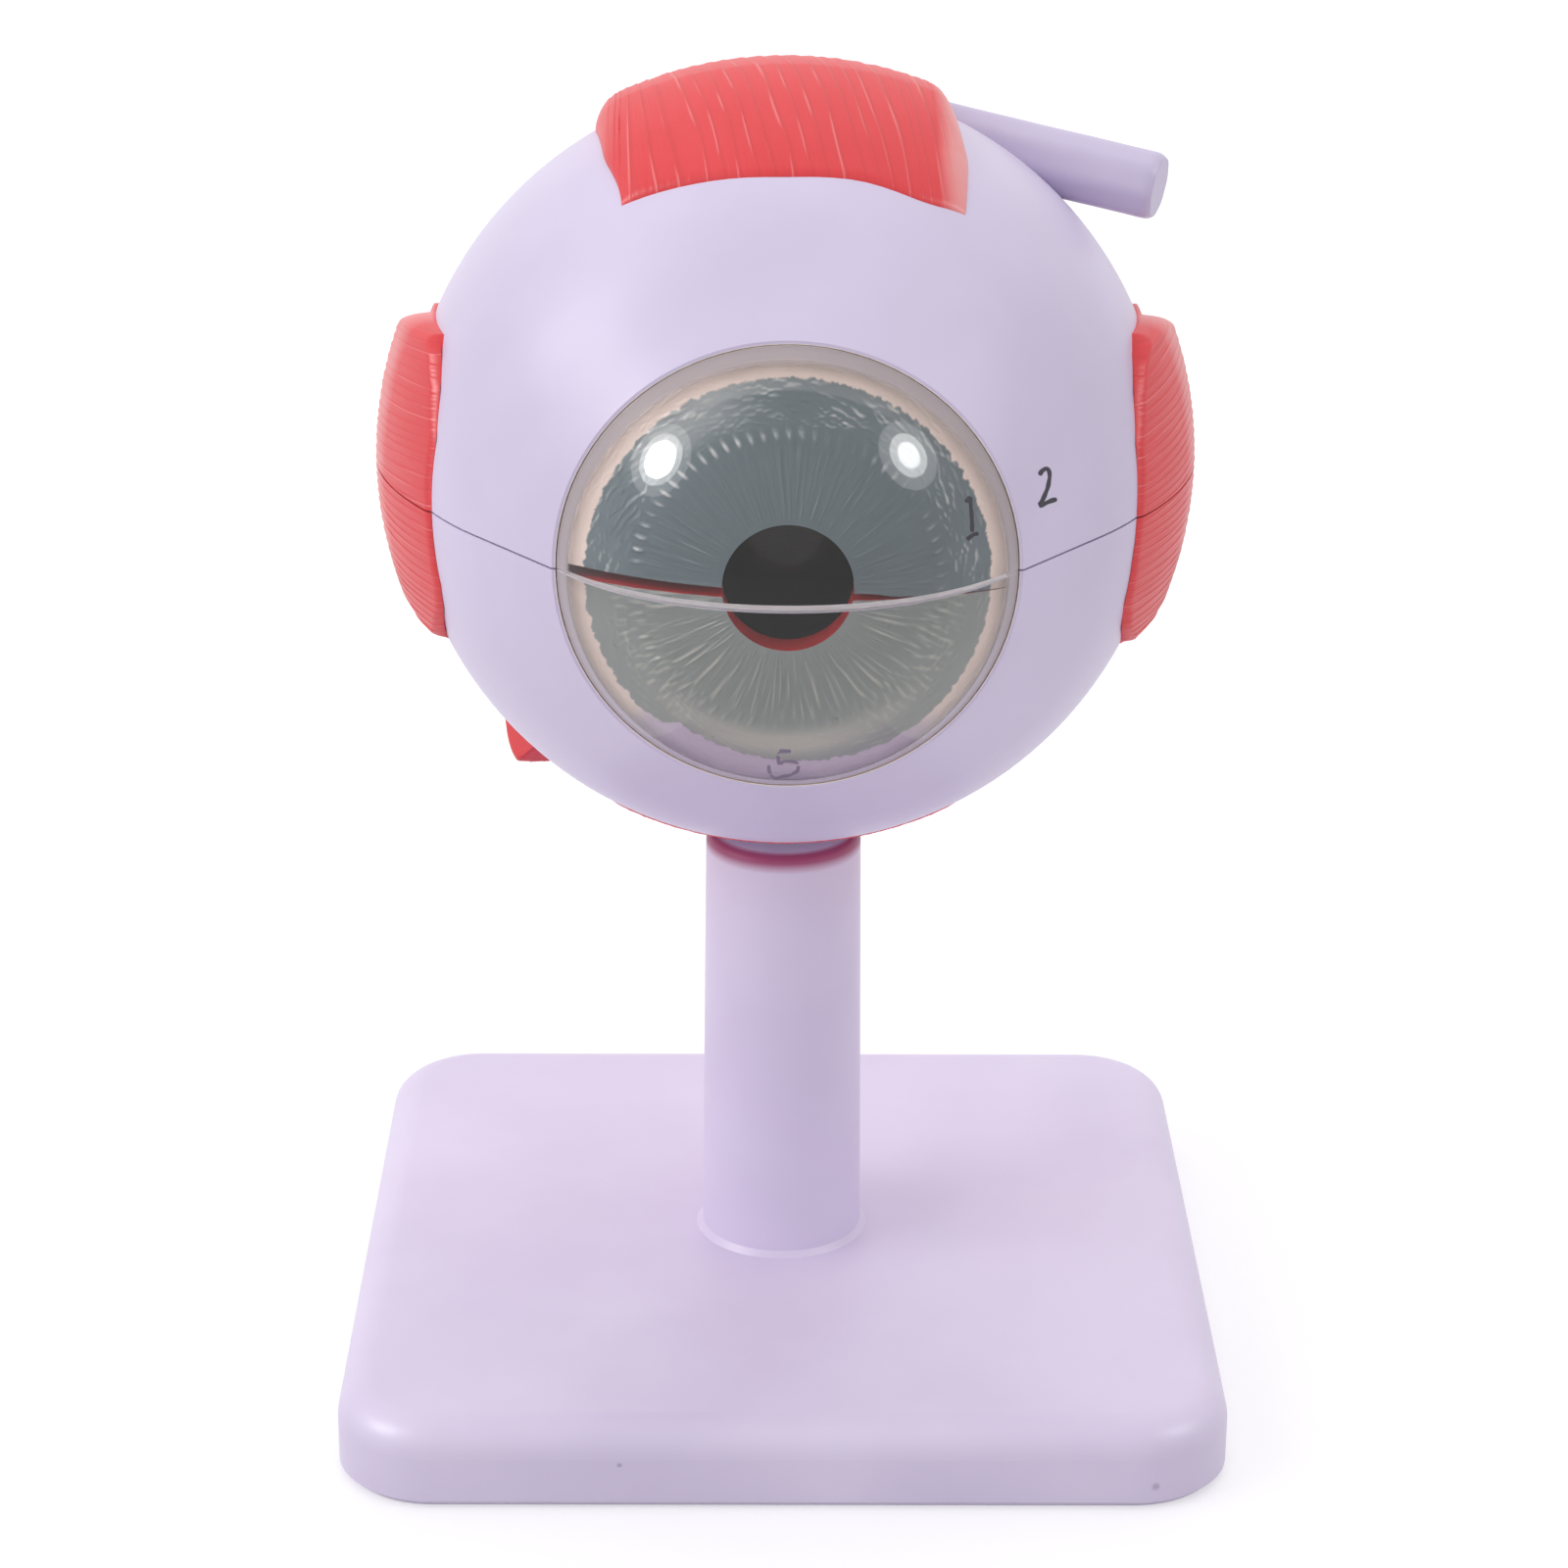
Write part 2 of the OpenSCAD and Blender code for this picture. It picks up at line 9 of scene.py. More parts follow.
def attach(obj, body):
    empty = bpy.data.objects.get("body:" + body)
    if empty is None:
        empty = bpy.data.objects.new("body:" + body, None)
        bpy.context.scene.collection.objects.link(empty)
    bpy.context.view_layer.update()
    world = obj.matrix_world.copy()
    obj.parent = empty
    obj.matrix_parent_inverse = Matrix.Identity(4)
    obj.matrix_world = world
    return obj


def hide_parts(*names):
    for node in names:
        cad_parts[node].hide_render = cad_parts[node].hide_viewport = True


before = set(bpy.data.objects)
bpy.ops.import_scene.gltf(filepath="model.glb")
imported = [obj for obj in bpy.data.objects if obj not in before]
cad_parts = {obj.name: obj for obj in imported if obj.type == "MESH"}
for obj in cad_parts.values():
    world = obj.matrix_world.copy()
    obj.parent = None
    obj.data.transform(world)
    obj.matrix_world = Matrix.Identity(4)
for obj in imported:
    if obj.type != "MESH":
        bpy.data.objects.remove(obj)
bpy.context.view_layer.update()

# Lengths are in millimetres and measured from the ball's centre, unless a name says
# otherwise. The eye looks along -Y, and +X is the nasal side.
MM = 0.001
BALL_Z = 94.7354          # height of the ball's centre above the table
BALL_R = 38.4
SPLIT = 0.1               # half of the gap between the shell's halves

IRIS_R = 39.5             # the iris is a dome on a sphere of this radius
IRIS_INNER_R = 36.5
IRIS_RIM_R = 20.1
IRIS_INNER_RIM_R = 17.1
IRIS_BACK_Y = -28.8
PUPIL_R = 5.9
UPPER_CUT, UPPER_TURN = -0.2534, math.radians(2.6)
LOWER_CUT, LOWER_TURN = -0.9997, math.radians(1.5)

CORNEA_R, CORNEA_Y = 25.169, -21.131     # outer sphere of the cornea
CORNEA_INNER_R, CORNEA_INNER_Y = 26.074, -17.926
RIM_Y, RIM_R = -34.0, 22.1               # front edge of the drawn-out shell
TOUCH_Y, TOUCH_R = -23.762, 30.165       # where its straight part leaves the ball

BEAD_R, BEADS = 13.7, 74                 # ring of moulded beads on the iris, per full turn
TALL_T, SIDE_T, OBLIQUE_T = 2.4, 3.1, 2.8    # thickness of the muscles
TALL_BACK, SIDE_BACK = 23.98, 24.39      # where they end at the back
POST_ROOM_R = 8.7                        # room that the lower muscle leaves for the post
OBLIQUE_HALF_W, OBLIQUE_HALF_L = 4.6, 10.0


# ------------------------------------------------------------------ small tools

def lin(code):
    """Linear colour of an sRGB code such as #d6cce6."""
    v = np.array([int(code[i:i + 2], 16) for i in (1, 3, 5)]) / 255
    v = np.where(v <= 0.04045, v / 12.92, ((v + 0.055) / 1.055) ** 2.4)
    return (*v.tolist(), 1.0)


def add(tree, kind, inputs=None, **settings):
    """Adds a shader node. Each input is a constant or a socket that is linked to it."""
    node = tree.nodes.new("ShaderNode" + kind)
    for key, value in settings.items():
        setattr(node, key, value)
    for key, value in (inputs or {}).items():
        if isinstance(value, bpy.types.NodeSocket):
            tree.links.new(value, node.inputs[key])
        else:
            node.inputs[key].default_value = value
    return node


def new_material(name):
    mat = bpy.data.materials.new(name)
    mat.use_nodes = True
    mat.node_tree.nodes.clear()
    return mat, mat.node_tree


def step(x, low, high):
    """Smooth step from 0 at low to 1 at high."""
    t = np.clip((x - low) / (high - low), 0, 1)
    return t * t * (3 - 2 * t)


def soft_table(x, table, width):
    """Straight lines through a table of (x, y), averaged over a width so that the
    corners are round."""
    xs, ys = zip(*table)
    return np.mean([np.interp(x + d, xs, ys) for d in np.linspace(-width, width, 11)], 0)


def waves(u, v, size_u, size_v, seed, count=28):
    """Smooth irregular field of about -1 to 1 over u and v: a sum of sine waves with
    random phases and wavelengths near size_u and size_v."""
    rng = np.random.default_rng(seed)
    total = np.zeros(np.broadcast(u, v).shape)
    for _ in range(count):
        fu, fv = rng.uniform(0.4, 1.7, 2) * (2 * np.pi / size_u, 2 * np.pi / size_v)
        sign = rng.choice((-1, 1))
        total += np.sin(fu * u + sign * fv * v + rng.uniform(0, 2 * np.pi))
    return total / math.sqrt(count / 2) / 1.6


def grid_quads(rows, columns, wrap):
    """Corners of the quads of a rows by columns grid; wrap joins the last column to
    the first."""
    i = np.arange(rows * columns).reshape(rows, columns)
    if wrap:
        i = np.hstack([i, i[:, :1]])
    return np.stack([i[:-1, :-1], i[1:, :-1], i[1:, 1:], i[:-1, 1:]], -1).reshape(-1, 4)


def solid(name, points, quads, caps, body, materials, indices=None, angle=40, fields=None):
    """Mesh object from points (mm from the ball's centre), quads and end caps, with its
    faces turned outwards and its edges sharp above the given angle."""
    world = (np.asarray(points, float) + (0, 0, BALL_Z)) * MM
    mesh = bpy.data.meshes.new(name)
    mesh.from_pydata(world.tolist(), [], np.asarray(quads).tolist() + [list(map(int, c)) for c in caps])
    for mat in materials:
        mesh.materials.append(mat)
    if indices is not None:
        mesh.polygons.foreach_set("material_index", np.asarray(indices, np.int32))
    for key, values in (fields or {}).items():
        values = np.asarray(values, np.float32).ravel()
        mesh.attributes.new(key, "FLOAT", "POINT").data.foreach_set("value", values)
    outwards(mesh)
    mesh.shade_smooth()
    mesh.set_sharp_from_angle(angle=math.radians(angle))
    obj = bpy.data.objects.new(name, mesh)
    bpy.context.scene.collection.objects.link(obj)
    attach(obj, body)
    return obj


def outwards(mesh):
    """Turns all faces of a closed mesh outwards."""
    bm = bmesh.new()
    bm.from_mesh(mesh)
    bmesh.ops.recalc_face_normals(bm, faces=bm.faces)
    bm.to_mesh(mesh)
    bm.free()


# -------------------------------------------------------------------- materials

def about_axis(tree, place, centre, keep):
    """Distance in metres of a place from the point at height centre (in mm) above the
    origin, counted only along the axes that are 1 in keep."""
    offset = add(tree, "VectorMath", {0: place, 1: (0, 0, -centre * MM)}, operation="ADD").outputs[0]
    flat = add(tree, "VectorMath", {0: offset, 1: keep}, operation="MULTIPLY").outputs[0]
    return add(tree, "VectorMath", {0: flat}, operation="LENGTH").outputs["Value"]


def moulded_pvc(name, low, high, roughness, glue_and_painted_light=False, muscle_reflection=False, scuffs=()):
    """Moulded soft PVC: clouded tint of the pigment, satin mould grain, a few marks, and where asked a
    painted reflection of the red muscle and glue made pale as painted light.
    """
    mat, tree = new_material(name)
    place = add(tree, "TexCoord").outputs["Object"]
    # the pigment is not mixed evenly, which the eye reads as clouds some 20 mm across
    cloud = add(tree, "TexNoise", {"Vector": place, "Scale": 42.0, "Detail": 3.0}).outputs["Fac"]
    cloud = add(tree, "MapRange", {0: cloud, 1: 0.35, 2: 0.65}).outputs[0]
    colour = add(tree, "Mix", {0: cloud, 6: lin(low), 7: lin(high)}, data_type="RGBA").outputs[2]
    if glue_and_painted_light:
        # dried glue in the cornea's seat: a cream ring inside the rim, made nearly white as painted light for
        # the light that hardly reaches it through the cornea
        radius = about_axis(tree, place, BALL_Z, (1, 0, 1))
        inside = add(tree, "Math", {0: radius, 1: 21.8 * MM}, operation="LESS_THAN").outputs[0]
        depth = add(tree, "SeparateXYZ", {0: place}).outputs["Y"]
        ahead = add(tree, "Math", {0: depth, 1: -29.5 * MM}, operation="LESS_THAN").outputs[0]
        seat = add(tree, "Math", {0: inside, 1: ahead}, operation="MULTIPLY").outputs[0]
        colour = add(tree, "Mix", {0: seat, 6: colour, 7: lin("#fff2e8")}, data_type="RGBA").outputs[2]
    if muscle_reflection:
        # painted reflection: the red muscle above is mirrored as a magenta ring on the rounded edge of the
        # post's top
        radius = about_axis(tree, place, 0, (1, 1, 0))
        outside = add(tree, "MapRange", {0: radius, 1: 6.9 * MM, 2: 7.5 * MM}).outputs[0]
        height = add(tree, "SeparateXYZ", {0: place}).outputs["Z"]
        high_up = add(tree, "MapRange", {0: height, 1: 53.0 * MM, 2: 54.1 * MM}).outputs[0]
        ring = add(tree, "Math", {0: outside, 1: high_up}, operation="MULTIPLY").outputs[0]
        colour = add(tree, "Mix", {0: ring, 6: colour, 7: lin("#a54f7c")}, data_type="RGBA").outputs[2]
    for x, y, z, size in scuffs:
        # small dark scuff from handling
        rough = add(tree, "TexNoise", {"Vector": place, "Scale": 2600.0, "Detail": 2.0}).outputs["Fac"]
        spot = (x * MM, y * MM, z * MM)
        gap = add(tree, "VectorMath", {0: place, 1: spot}, operation="DISTANCE").outputs["Value"]
        near = add(tree, "MapRange", {0: gap, 1: size * MM, 2: 0.3 * size * MM}).outputs[0]
        mark = add(tree, "Math", {0: near, 1: rough}, operation="MULTIPLY").outputs[0]
        colour = add(tree, "Mix", {0: mark, 6: colour, 7: lin("#6d6478")}, data_type="RGBA").outputs[2]
    # satin grain of the mould, about half a millimetre across, softens the gloss
    grain = add(tree, "TexNoise", {"Vector": place, "Scale": 1500.0, "Detail": 2.0}).outputs["Fac"]
    wave = add(tree, "TexNoise", {"Vector": place, "Scale": 130.0, "Detail": 1.0}).outputs["Fac"]
    height = add(tree, "Math", {0: wave, 1: 6.0, 2: grain}, operation="MULTIPLY_ADD").outputs[0]
    bump = add(tree, "Bump", {"Strength": 0.25, "Distance": 0.02 * MM, "Height": height}).outputs[0]
    gloss = add(tree, "MapRange", {0: cloud, 3: roughness - 0.03, 4: roughness + 0.04}).outputs[0]
    shader = add(tree, "BsdfPrincipled", {"Base Color": colour, "Roughness": gloss, "Normal": bump,
                                          "IOR": 1.5, "Sheen Weight": 0.12,
                                          "Sheen Roughness": 0.4}).outputs[0]
    add(tree, "OutputMaterial", {"Surface": shader})
    return mat


def clear_pvc(name, tint, ior=1.49, sawn_face=None):
    """Clear polished PVC: bends light like acrylic. The cornea, which has a colour for
    its sawn faces, also has a milky edge that paints the shade on the shell's wall behind it, and glue on its
    foot, made pale as painted light."""
    mat, tree = new_material(name)
    place = add(tree, "TexCoord").outputs["Object"]
    shader = add(tree, "BsdfPrincipled", {"Base Color": lin(tint), "Roughness": 0.03, "IOR": ior,
                                          "Transmission Weight": 1.0}).outputs[0]
    if sawn_face:
        # the moulded inside of the cornea is matter than its polished outside, so only
        # the outside mirrors the lamps
        inner = add(tree, "VectorMath", {0: place, 1: (0, CORNEA_INNER_Y * MM, BALL_Z * MM)},
                    operation="DISTANCE").outputs["Value"]
        reach = (CORNEA_INNER_R + 0.06) * MM
        inner = add(tree, "Math", {0: inner, 1: reach}, operation="LESS_THAN").outputs[0]
        plain = add(tree, "BsdfRefraction", {"Color": lin(tint), "Roughness": 0.0, "IOR": 1.49}).outputs[0]
        shader = add(tree, "MixShader", {0: inner, 1: shader, 2: plain}).outputs[0]
        # an opaque milky band at the dome's edge stands in for the shell's lavender wall seen
        # through it: painted shade makes it mauve-grey at the top, and it is lavender at the bottom
        radius = about_axis(tree, place, BALL_Z, (1, 0, 1))
        band_noise = add(tree, "TexNoise", {"Vector": place, "Scale": 240.0, "Detail": 3.0}).outputs["Fac"]
        band = add(tree, "MapRange", {0: radius, 1: 20.3 * MM, 2: 20.75 * MM, 4: 0.86}).outputs[0]
        outer = add(tree, "Math", {0: 1.0, 1: inner}, operation="SUBTRACT").outputs[0]
        band = add(tree, "Math", {0: band, 1: outer}, operation="MULTIPLY").outputs[0]
        up = add(tree, "SeparateXYZ", {0: place}).outputs["Z"]
        up = add(tree, "MapRange", {0: up, 1: (BALL_Z - 14) * MM, 2: (BALL_Z + 4) * MM}).outputs[0]
        hue = add(tree, "Mix", {0: up, 6: lin("#cbc0d6"), 7: lin("#b0a3a7")}, data_type="RGBA").outputs[2]
        hue = add(tree, "MixRGB", {0: band_noise, 1: hue, 2: lin("#b9adb0")}).outputs[0]
        painted_wall_shade = add(tree, "BsdfPrincipled", {"Base Color": hue, "Roughness": 0.3}).outputs[0]
        shader = add(tree, "MixShader", {0: band, 1: shader, 2: painted_wall_shade}).outputs[0]
        # glue on the foot that stands in the shell's seat, made pale as painted light for the little light
        # that reaches it inside the glass
        wide = add(tree, "Math", {0: radius, 1: 20.45 * MM}, operation="GREATER_THAN").outputs[0]
        depth = add(tree, "SeparateXYZ", {0: place}).outputs["Y"]
        behind = add(tree, "Math", {0: depth, 1: (RIM_Y - 0.03) * MM}, operation="GREATER_THAN").outputs[0]
        foot = add(tree, "Math", {0: wide, 1: behind}, operation="MULTIPLY").outputs[0]
        uneven = add(tree, "TexNoise", {"Vector": place, "Scale": 180.0, "Detail": 3.0}).outputs["Fac"]
        hue = add(tree, "Mix", {0: uneven, 6: lin("#d9ccc8"), 7: lin("#e6dad4")}, data_type="RGBA").outputs[2]
        foot_glue_and_light = add(tree, "BsdfPrincipled", {"Base Color": hue, "Roughness": 0.5}).outputs[0]
        shader = add(tree, "MixShader", {0: foot, 1: shader, 2: foot_glue_and_light}).outputs[0]
    # shadow rays pass straight through, so that daylight reaches what lies behind
    shade = add(tree, "LightPath").outputs["Is Shadow Ray"]
    open_air = add(tree, "BsdfTransparent", {"Color": lin("#f2f0f0")}).outputs[0]
    shader = add(tree, "MixShader", {0: shade, 1: shader, 2: open_air}).outputs[0]
    if sawn_face:
        # the sawn face of a half: milky, paler than the clear wall
        normal = add(tree, "SeparateXYZ", {0: add(tree, "TexCoord").outputs["Normal"]}).outputs["Z"]
        level = add(tree, "Math", {0: normal}, operation="ABSOLUTE").outputs[0]
        sawn = add(tree, "MapRange", {0: level, 1: 0.97, 2: 0.995}).outputs[0]
        milk = add(tree, "BsdfPrincipled", {"Base Color": lin(sawn_face), "Roughness": 0.4}).outputs[0]
        shader = add(tree, "MixShader", {0: sawn, 1: shader, 2: milk}).outputs[0]
    add(tree, "OutputMaterial", {"Surface": shader})
    return mat


def muscle_paint(name):
    """Red paint over grooved PVC, with painted shade in the grooves, a painted highlight on the ridges and a
    pale pink painted sheen.
    """
    mat, tree = new_material(name)
    place = add(tree, "TexCoord").outputs["Object"]
    ridge = add(tree, "Attribute", attribute_name="ridge").outputs["Fac"]
    blotch = add(tree, "TexNoise", {"Vector": place, "Scale": 160.0, "Detail": 4.0}).outputs["Fac"]
    base = add(tree, "Mix", {0: blotch, 6: lin("#dc2f36"), 7: lin("#e53d43")}, data_type="RGBA").outputs[2]
    # painted shade beside each line and a painted highlight on its crest
    groove_shade = add(tree, "MapRange", {0: ridge, 1: 0.06, 2: 0.0, 4: 0.32}).outputs[0]
    colour = add(tree, "Mix", {0: groove_shade, 6: base, 7: lin("#c42d33")}, data_type="RGBA").outputs[2]
    ridge_highlight = add(tree, "MapRange", {0: ridge, 1: 0.66, 2: 0.92, 4: 0.8}).outputs[0]
    colour = add(tree, "Mix", {0: ridge_highlight, 6: colour, 7: lin("#f59d9d")}, data_type="RGBA").outputs[2]
    # painted sheen: the red is made a pale pink on the flanks of the upper muscle and on the rear parts of
    # the side muscles
    pale_tint = add(tree, "Attribute", attribute_name="pale_tint").outputs["Fac"]
    pale_tint = add(tree, "Math", {0: pale_tint, 1: blotch, 2: pale_tint}, operation="MULTIPLY_ADD").outputs[0]
    pale_tint = add(tree, "MapRange", {0: pale_tint, 1: 0.2, 2: 1.3, 4: 0.85}).outputs[0]
    colour = add(tree, "Mix", {0: pale_tint, 6: colour, 7: lin("#f0a6a6")}, data_type="RGBA").outputs[2]
    grain = add(tree, "TexNoise", {"Vector": place, "Scale": 1100.0, "Detail": 3.0}).outputs["Fac"]
    bump = add(tree, "Bump", {"Strength": 0.15, "Distance": 0.03 * MM, "Height": grain}).outputs[0]
    shader = add(tree, "BsdfPrincipled", {"Base Color": colour, "Roughness": 0.42, "Normal": bump,
                                          "Sheen Weight": 0.16, "Sheen Roughness": 0.35,
                                          "Sheen Tint": lin("#ffdcdc")}).outputs[0]
    add(tree, "OutputMaterial", {"Surface": shader})
    return mat


def iris_front(name, deep, mid, pale):
    """Hand-painted iris: blue-grey acrylic over moulded fibres, bare plastic past the
    ragged edge of the paint."""
    mat, tree = new_material(name)
    place = add(tree, "TexCoord").outputs["Object"]
    tone = add(tree, "Attribute", attribute_name="tone").outputs["Fac"]
    cover = add(tree, "Attribute", attribute_name="cover").outputs["Fac"]
    low = add(tree, "MapRange", {0: tone, 1: 0.0, 2: 0.5}).outputs[0]
    high = add(tree, "MapRange", {0: tone, 1: 0.5, 2: 1.0}).outputs[0]
    colour = add(tree, "Mix", {0: low, 6: lin(deep), 7: lin(mid)}, data_type="RGBA").outputs[2]
    colour = add(tree, "Mix", {0: high, 6: colour, 7: lin(pale)}, data_type="RGBA").outputs[2]
    # past the paint the plastic is cream with glue, made pale as painted light, and lavender where it stayed
    # bare
    lavender = add(tree, "Attribute", attribute_name="lavender").outputs["Fac"]
    bare = add(tree, "Mix", {0: lavender, 6: lin("#ebdfd8"), 7: lin("#c8bed8")}, data_type="RGBA").outputs[2]
    # fine brush bristle lines and specks in the paint
    speck = add(tree, "TexNoise", {"Vector": place, "Scale": 1500.0, "Detail": 4.0}).outputs["Fac"]
    dark = add(tree, "MapRange", {0: speck, 1: 0.3, 2: 0.18, 4: 0.6}).outputs[0]
    colour = add(tree, "Mix", {0: dark, 6: colour, 7: lin("#2c3538")}, data_type="RGBA").outputs[2]
    colour = add(tree, "Mix", {0: cover, 6: bare, 7: colour}, data_type="RGBA").outputs[2]
    bump = add(tree, "Bump", {"Strength": 0.2, "Distance": 0.03 * MM, "Height": speck}).outputs[0]
    shader = add(tree, "BsdfPrincipled", {"Base Color": colour, "Roughness": 0.36, "Normal": bump}).outputs[0]
    add(tree, "OutputMaterial", {"Surface": shader})
    return mat


def red_paint(name, low, high, vessels=False):
    """Brushed red paint on plastic, with a net of vessels on the eye's wall."""
    mat, tree = new_material(name)
    place = add(tree, "TexCoord").outputs["Object"]
    blotch = add(tree, "TexNoise", {"Vector": place, "Scale": 120.0, "Detail": 4.0}).outputs["Fac"]
    colour = add(tree, "Mix", {0: blotch, 6: lin(low), 7: lin(high)}, data_type="RGBA").outputs[2]
    if vessels:
        # dark lines some 13 mm apart read as blood vessels painted on both faces
        bend = add(tree, "TexNoise", {"Vector": place, "Scale": 90.0, "Detail": 2.0}).outputs["Color"]
        route = add(tree, "MixRGB", {0: 0.012, 1: place, 2: bend}, blend_type="ADD").outputs[0]
        cell = add(tree, "TexVoronoi", {"Vector": route, "Scale": 75.0},
                   feature="DISTANCE_TO_EDGE").outputs[0]
        line = add(tree, "MapRange", {0: cell, 1: 0.05, 2: 0.02, 4: 0.75}).outputs[0]
        colour = add(tree, "Mix", {0: line, 6: colour, 7: lin("#7a1418")}, data_type="RGBA").outputs[2]
    brush = add(tree, "TexNoise", {"Vector": place, "Scale": 700.0, "Detail": 3.0}).outputs["Fac"]
    bump = add(tree, "Bump", {"Strength": 0.25, "Distance": 0.04 * MM, "Height": brush}).outputs[0]
    shader = add(tree, "BsdfPrincipled", {"Base Color": colour, "Roughness": 0.38, "Normal": bump}).outputs[0]
    add(tree, "OutputMaterial", {"Surface": shader})
    return mat


def turned_steel(name):
    """Turned steel: fine rings round the pin's axis."""
    mat, tree = new_material(name)
    place = add(tree, "TexCoord").outputs["Object"]
    rings = add(tree, "TexWave", {"Vector": place, "Scale": 900.0, "Distortion": 1.5},
                bands_direction="Z").outputs["Fac"]
    rough = add(tree, "MapRange", {0: rings, 3: 0.22, 4: 0.36}).outputs[0]
    bump = add(tree, "Bump", {"Strength": 0.15, "Distance": 0.01 * MM, "Height": rings}).outputs[0]
    shader = add(tree, "BsdfPrincipled", {"Base Color": lin("#c6c6c9"), "Metallic": 1.0, "Roughness": rough,
                                          "Normal": bump}).outputs[0]
    add(tree, "OutputMaterial", {"Surface": shader})
    return mat


def marker_ink(name, code, pale_tint):
    """Felt-pen ink: nearly matt, a little thinner in places."""
    mat, tree = new_material(name)
    place = add(tree, "TexCoord").outputs["Object"]
    thin = add(tree, "TexNoise", {"Vector": place, "Scale": 1800.0, "Detail": 3.0}).outputs["Fac"]
    colour = add(tree, "Mix", {0: thin, 6: lin(code), 7: lin(pale_tint)}, data_type="RGBA").outputs[2]
    shader = add(tree, "BsdfPrincipled", {"Base Color": colour, "Roughness": 0.55}).outputs[0]
    add(tree, "OutputMaterial", {"Surface": shader})
    return mat


# Stand, shell and tendon are one lavender plastic. The stand's colour is made paler than the shell's as
# painted light, and it is more satin than the shell, whose gloss gives soft highlights. Scuffs are (x, y, z,
# size) in mm from the middle of the base's underside.
# the post's top carries a painted reflection of the red muscle
STAND = moulded_pvc("moulded_pvc_stand", "#d9cde8", "#e1d6ef", 0.42, muscle_reflection=True,
                    scuffs=((37.1, -45.0, 2.5, 0.6), (40.9, -45.0, 4.2, 0.5), (-16.25, -45.0, 4.97, 0.35)))
# the shell's glue ring is made nearly white as painted light
SHELL = moulded_pvc("moulded_pvc_shell", "#d2c7e2", "#dacfea", 0.36, glue_and_painted_light=True)
TENDON = moulded_pvc("moulded_pvc_tendon", "#c7bcda", "#cfc4e0", 0.42)
# The cornea is clear and glossy, and mirrors the lamps as two bright spots
CORNEA = clear_pvc("clear_pvc_cornea", "#f6f2f1", sawn_face="#fffaff")
# The lens bends light less than real PVC does, and its dark tint is painted shade for the dark inside of the
# closed eye. Both are matched to the photograph, where the pupil looks nearly black.
CRYSTAL = clear_pvc("clear_pvc_lens", "#6b6264", ior=1.28)
VITREOUS = clear_pvc("clear_pvc_vitreous", "#eef0f0")
MUSCLE = muscle_paint("painted_grooved_pvc")
# Iris paints: deep, middle and pale tone. The upper half looks bluer and darker
UPPER_IRIS = iris_front("painted_iris_upper", "#4f6168", "#61747c", "#bac3c5")
LOWER_IRIS = iris_front("painted_iris_lower", "#6f7c7b", "#8b9797", "#bcc1bb")
# Reds: the bright cut edge of the iris, the wall, and the dark folds behind the pupil; the wall and folds are
# made darker still as painted shade of the closed eye's inside
RED_EDGE = red_paint("painted_red_edge", "#ad2028", "#c02c33")
WALL = red_paint("painted_vascular_wall", "#8a2a2e", "#9a3438", vessels=True)
FOLDS = red_paint("painted_ciliary_folds", "#3f1a1c", "#552528")
# The nerve is painted cream, and the pin shows the fine rings that turning leaves
NERVE = moulded_pvc("painted_nerve", "#d9c389", "#e4d29e", 0.45)
STEEL = turned_steel("turned_steel")
# The number on the lower iris is fainter than the other two
INK = marker_ink("marker_ink", "#1c1622", "#362c40")
FAINT_INK = marker_ink("marker_ink_faint", "#776d8b", "#857c98")


def dress(mat, *names):
    """Gives CAD nodes a material in place of their plain one."""
    for name in names:
        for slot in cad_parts[name].material_slots:
            slot.material = mat


dress(STAND, "base_plate", "post")
dress(SHELL, "lower_sclera", "upper_sclera")
dress(CORNEA, "lower_cornea", "upper_cornea")
dress(CRYSTAL, "lens")
dress(VITREOUS, "vitreous_body")
dress(WALL, "lower_choroid", "upper_choroid")
dress(FOLDS, "lower_ciliary", "upper_ciliary")
dress(NERVE, "optic_nerve_lower", "optic_nerve_upper")
dress(STEEL, "dowel_pin")


# ------------------------------------------------------------------------- iris

